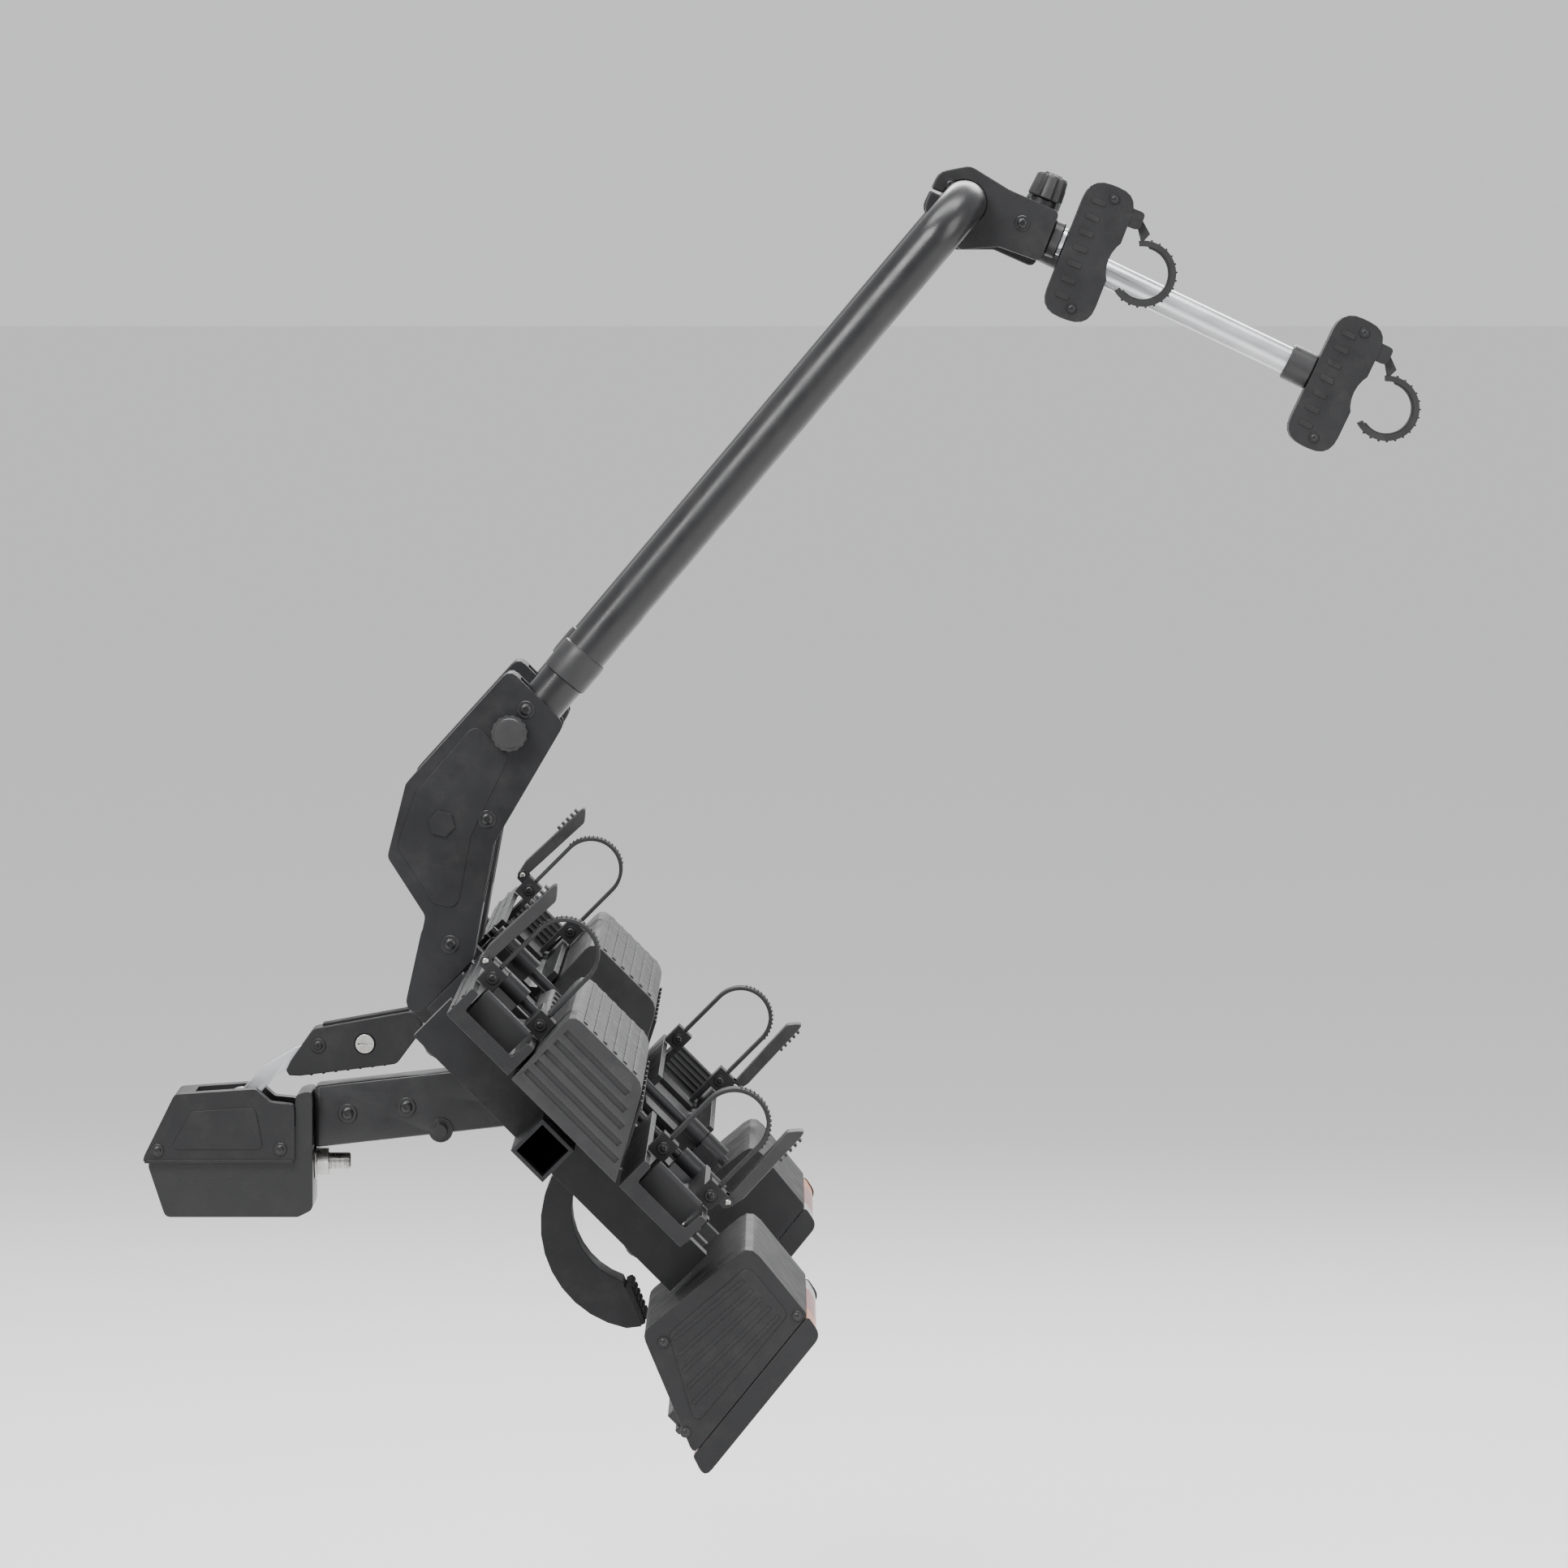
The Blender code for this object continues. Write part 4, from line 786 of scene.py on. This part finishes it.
# ---------------------------------------------------------------- wings
def make_wing(name, side):
    body = f"wing_{name}"
    refined(f"wing_frame_{name}", 0.0010)
    refined(f"hump_cover_{name}", 0.0022, 3)
    refined(f"lamp_housing_{name}", 0.0020, 3)
    caps = Shape(DECK)
    lips = Shape(DECK)
    for where in ENDS:
        node = f"{where}_tray_{name}"
        refined(node, 0.0007)
        low, high = local_box(node, DECK)
        near, far = min(abs(low.y), abs(high.y)), max(abs(low.y), abs(high.y))
        middle, half = (low.x + high.x) / 2, (high.x - low.x) / 2
        front, back = middle - half, middle + half
        cap = [(front, low.z, 0.003), (back, low.z, 0.003), (back, high.z, 0.002),
               (back - 0.007, high.z, 0.002), (back - 0.008, low.z + 0.012, 0.003),
               (front + 0.008, low.z + 0.012, 0.003), (front + 0.007, high.z, 0.002), (front, high.z, 0.002)]
        caps.prism(cap, side * (far + 0.0001), side * (far + 0.0028))
        outer = 1 if where == "rear" else -1
        face = middle + outer * half
        a, b = sorted((face - outer * 0.0005, face + outer * 0.0012))
        for w in (low.z + 0.006, low.z + 0.017):
            lips.box((a, min(side * near, side * far), w), (b, max(side * near, side * far), w + 0.0030))
    caps.finish(f"tray_caps_{name}", body, "cover_plastic", 0.0006)
    lips.finish(f"tray_lips_{name}", body, "black_aluminium", 0.0004)

    low, high = local_box(f"hump_cover_{name}", DECK)
    near, far = min(abs(low.y), abs(high.y)), max(abs(low.y), abs(high.y))
    crest = Shape(DECK)
    for k in range(6):
        u = -0.0420 + 0.0105 * k
        rib = [(u - 0.0024, high.z - 0.001), (u + 0.0024, high.z - 0.001), (u + 0.0018, high.z + 0.0013),
               (u - 0.0018, high.z + 0.0013)]
        crest.prism(rib, side * (near + 0.014), side * (far - 0.014))
    crest.finish(f"hump_ribs_{name}", body, "trim_plastic", 0.0005)
    skirt = Shape(DECK)
    slope_from, slope_to = Vector((0.0300, 0.0860)), Vector((0.0540, 0.0385))
    out = Vector((slope_from.y - slope_to.y, slope_to.x - slope_from.x)).normalized()
    for k in range(9):
        v = near + 0.030 + (far - near - 0.060) * k / 8
        under, over = out * 0.001, out * 0.0012
        skirt.prism([slope_from - under, slope_to - under, slope_to + over, slope_from + over],
                    side * (v - 0.003), side * (v + 0.003))
    skirt.finish(f"hump_flutes_{name}", body, "trim_plastic", 0.0004)

    make_lamp(name, side)
    screws = Shape(DECK)
    for v in (0.194, 0.469):
        screws.bolt((-0.106, side * v, -0.0100), (0, 0, -1), 0.0044, 0.0026)
        screws.bolt((0.112, side * v, -0.0100), (0, 0, -1), 0.0044, 0.0026)
    screws.finish(f"wing_screws_{name}", body, "black_steel")


def make_lamp(name, side):
    """Ribbed lens in three colours on the back of the housing, with a moulded end panel."""
    body = f"wing_{name}"
    bezel_top, bezel_low = Vector((0.2535, 0.0550)), Vector((0.2680, -0.0850))
    face_top, face_low = Vector((0.2523, 0.0542)), Vector((0.2667, -0.0838))
    back_top, back_low = Vector((0.2355, 0.0580)), Vector((0.2495, -0.0790))
    near, far = 0.290, 0.574
    parts = (("clear", near, 0.352, "lamp_clear"), ("red", 0.3526, 0.503, "lamp_red"),
             ("amber", 0.5036, far, "lamp_amber"))
    for label, start, end, material in parts:
        lens = Shape(DECK)
        outline = [(back_top.x, back_top.y, 0.003), (face_top.x, face_top.y, 0.010),
                   (face_low.x, face_low.y, 0.006), (back_low.x, back_low.y, 0.003)]
        lens.prism(outline, side * start, side * end)
        replaces = [f"lamp_lens_{name}"] if label == "red" else []
        lens.finish(f"lamp_{label}_{name}", body, "lamp_red", 0.0012, 3, replaces, material)
        flutes = Shape(DECK)
        count = int((end - start - 0.010) / 0.0075)
        normal = Vector((face_top.y - face_low.y, face_low.x - face_top.x)).normalized()
        if normal.x < 0:
            normal = -normal
        top, low = face_top.lerp(face_low, 0.10), face_top.lerp(face_low, 0.93)
        for k in range(count):
            v = start + 0.005 + (end - start - 0.010) * (k + 0.5) / count
            under, over = normal * 0.0010, normal * 0.0006
            corners = [top - under, low - under, low + over, top + over]
            flutes.prism([(p.x, p.y) for p in corners], side * (v - 0.0020), side * (v + 0.0020))
        flutes.finish(f"lamp_{label}_flutes_{name}", body, "lamp_red", 0.0005, 2, (), material)

    bezels = Shape(DECK)
    rim = [(back_top.x, back_top.y + 0.0005, 0.003), (bezel_top.x, bezel_top.y, 0.010),
           (bezel_low.x, bezel_low.y, 0.006), (back_low.x, back_low.y, 0.003)]
    for start, end in ((0.2870, 0.2899), (0.5741, 0.5770)):
        bezels.prism(rim, side * start, side * end)
    bezels.finish(f"lamp_bezels_{name}", body, "cover_plastic", 0.0008)

    end_face = 0.577
    panel = Shape(DECK)
    frame_outline = [(0.1705, -0.026, 0.006), (0.1765, 0.054, 0.008), (0.2240, 0.0490, 0.006),
                     (0.2340, -0.0610, 0.006)]
    panel.prism(frame_outline, side * (end_face - 0.001), side * (end_face + 0.0012))
    panel.finish(f"lamp_end_panel_{name}", body, "cover_plastic", 0.0007)
    ribs = Shape(DECK)
    for k in range(5):
        a = Vector((0.1820 + 0.0095 * k, 0.0430))
        b = Vector((0.1760 + 0.0112 * k, -0.0260 - 0.0062 * k))
        ribs.prism([(a.x - 0.0014, a.y), (a.x + 0.0014, a.y), (b.x + 0.0014, b.y), (b.x - 0.0014, b.y)],
                   side * (end_face + 0.0008), side * (end_face + 0.0020))
    ribs.finish(f"lamp_end_ribs_{name}", body, "cover_plastic", 0.0005)
    screws = Shape(DECK)
    for u, w in ((0.1720, -0.0330), (0.2325, -0.0700), (0.2300, 0.0530)):
        screws.bolt((u, side * end_face, w), (0, side, 0), 0.0028, 0.0018)
    screws.finish(f"lamp_screws_{name}", body, "black_steel")


def make_wheel_holder(where, name, side):
    """Cradle with tread ribs, toothed strap over the rim and the ratchet buckle with its pin."""
    label = f"{where}_{name}"
    body, buckle_body = f"holder_{label}", f"buckle_{label}"
    refined(f"wheel_cradle_{label}", 0.0010)
    refined(f"wheel_buckle_{label}", 0.0012)
    low, high = local_box(f"wheel_strap_{label}", DECK)
    middle = (low + high) / 2
    place = DECK @ Matrix.Translation((middle.x, middle.y, 0))
    inner, outer, crown = 0.0245, 0.0275, high.z - 0.0275

    strap = Shape(place)
    outline = [(outer, low.z)] + list(arc((0, crown), outer, 0, 180, 36)) + [(-outer, low.z), (-inner, low.z)]
    outline += list(arc((0, crown), inner, 180, 0, 36)) + [(inner, low.z)]
    strap.prism(outline, -0.0115, 0.0115)
    strap.finish(f"wheel_strap_{label}_body", body, "strap_rubber", 0.0008,
                 replaces=[f"wheel_strap_{label}"])

    away = 1 if where == "rear" else -1
    teeth = Shape(place)
    for k in range(17):
        angle = math.radians(4 + 7.5 * k)
        wide = math.radians(1.7)
        corners = [(away * r * math.cos(a), crown + r * math.sin(a))
                   for r, a in ((outer - 0.0005, angle - wide), (outer + 0.0011, angle - 0.3 * wide),
                                (outer + 0.0011, angle + 0.5 * wide), (outer - 0.0005, angle + wide))]
        teeth.prism(corners, -0.0078, 0.0078)
    teeth.finish(f"strap_teeth_{label}", body, "strap_rubber")

    fittings = Shape(place)
    for way in (-1, 1):
        for face in (-1, 1):
            fittings.bolt((way * 0.0255, face * 0.0145, 0.0690), (0, face, 0), 0.0032, 0.0020)
    fittings.finish(f"holder_rivets_{label}", body, "black_steel")

    low, high = local_box(f"wheel_cradle_{label}", DECK)
    treads = Shape(place)
    for k in range(5):
        v = side * (0.026 + 0.0062 * k)
        w = low.z + 0.0074 + 0.0046 * k
        treads.box((-0.0200, v - 0.0010, w), (0.0200, v + 0.0010, w + 0.0022))
    treads.finish(f"cradle_treads_{label}", body, "grip_rubber", 0.0004)

    lugs = Shape(place)
    for face in (-1, 1):
        lug = [(away * 0.0320, 0.0690), (away * 0.0400, 0.0690), (away * 0.0430, 0.0745),
               (away * 0.0400, 0.0795), (away * 0.0320, 0.0775)]
        lugs.prism(lug, face * 0.0129, face * 0.0144, radius=0.002)
    lugs.finish(f"buckle_lugs_{label}", body, "black_steel", 0.0003)
    pin = Shape(place)
    shank = [(-0.0156, 0.0016), (-0.0152, 0.0022), (0.0152, 0.0022), (0.0156, 0.0016)]
    pin.lathe(shank, (away * 0.0385, 0, 0.0745), (0, 1, 0), 24)
    pin.finish(f"buckle_pin_{label}", body, "bright_steel")
    ridges = Shape(place)
    for k in range(5):
        w = 0.0745 + 0.050 + 0.0052 * k
        u = away * (0.0385 + 0.0059 - 0.00004 * k)
        ridges.box((u - 0.0022, -0.0100, w), (u + 0.0014, 0.0100, w + 0.0020))
    ridges.finish(f"buckle_ridges_{label}", buckle_body, "trim_plastic", 0.0004)


for wing_name, wing_side in SIDES.items():
    make_wing(wing_name, wing_side)
    for tray_end in ENDS:
        make_wheel_holder(tray_end, wing_name, wing_side)
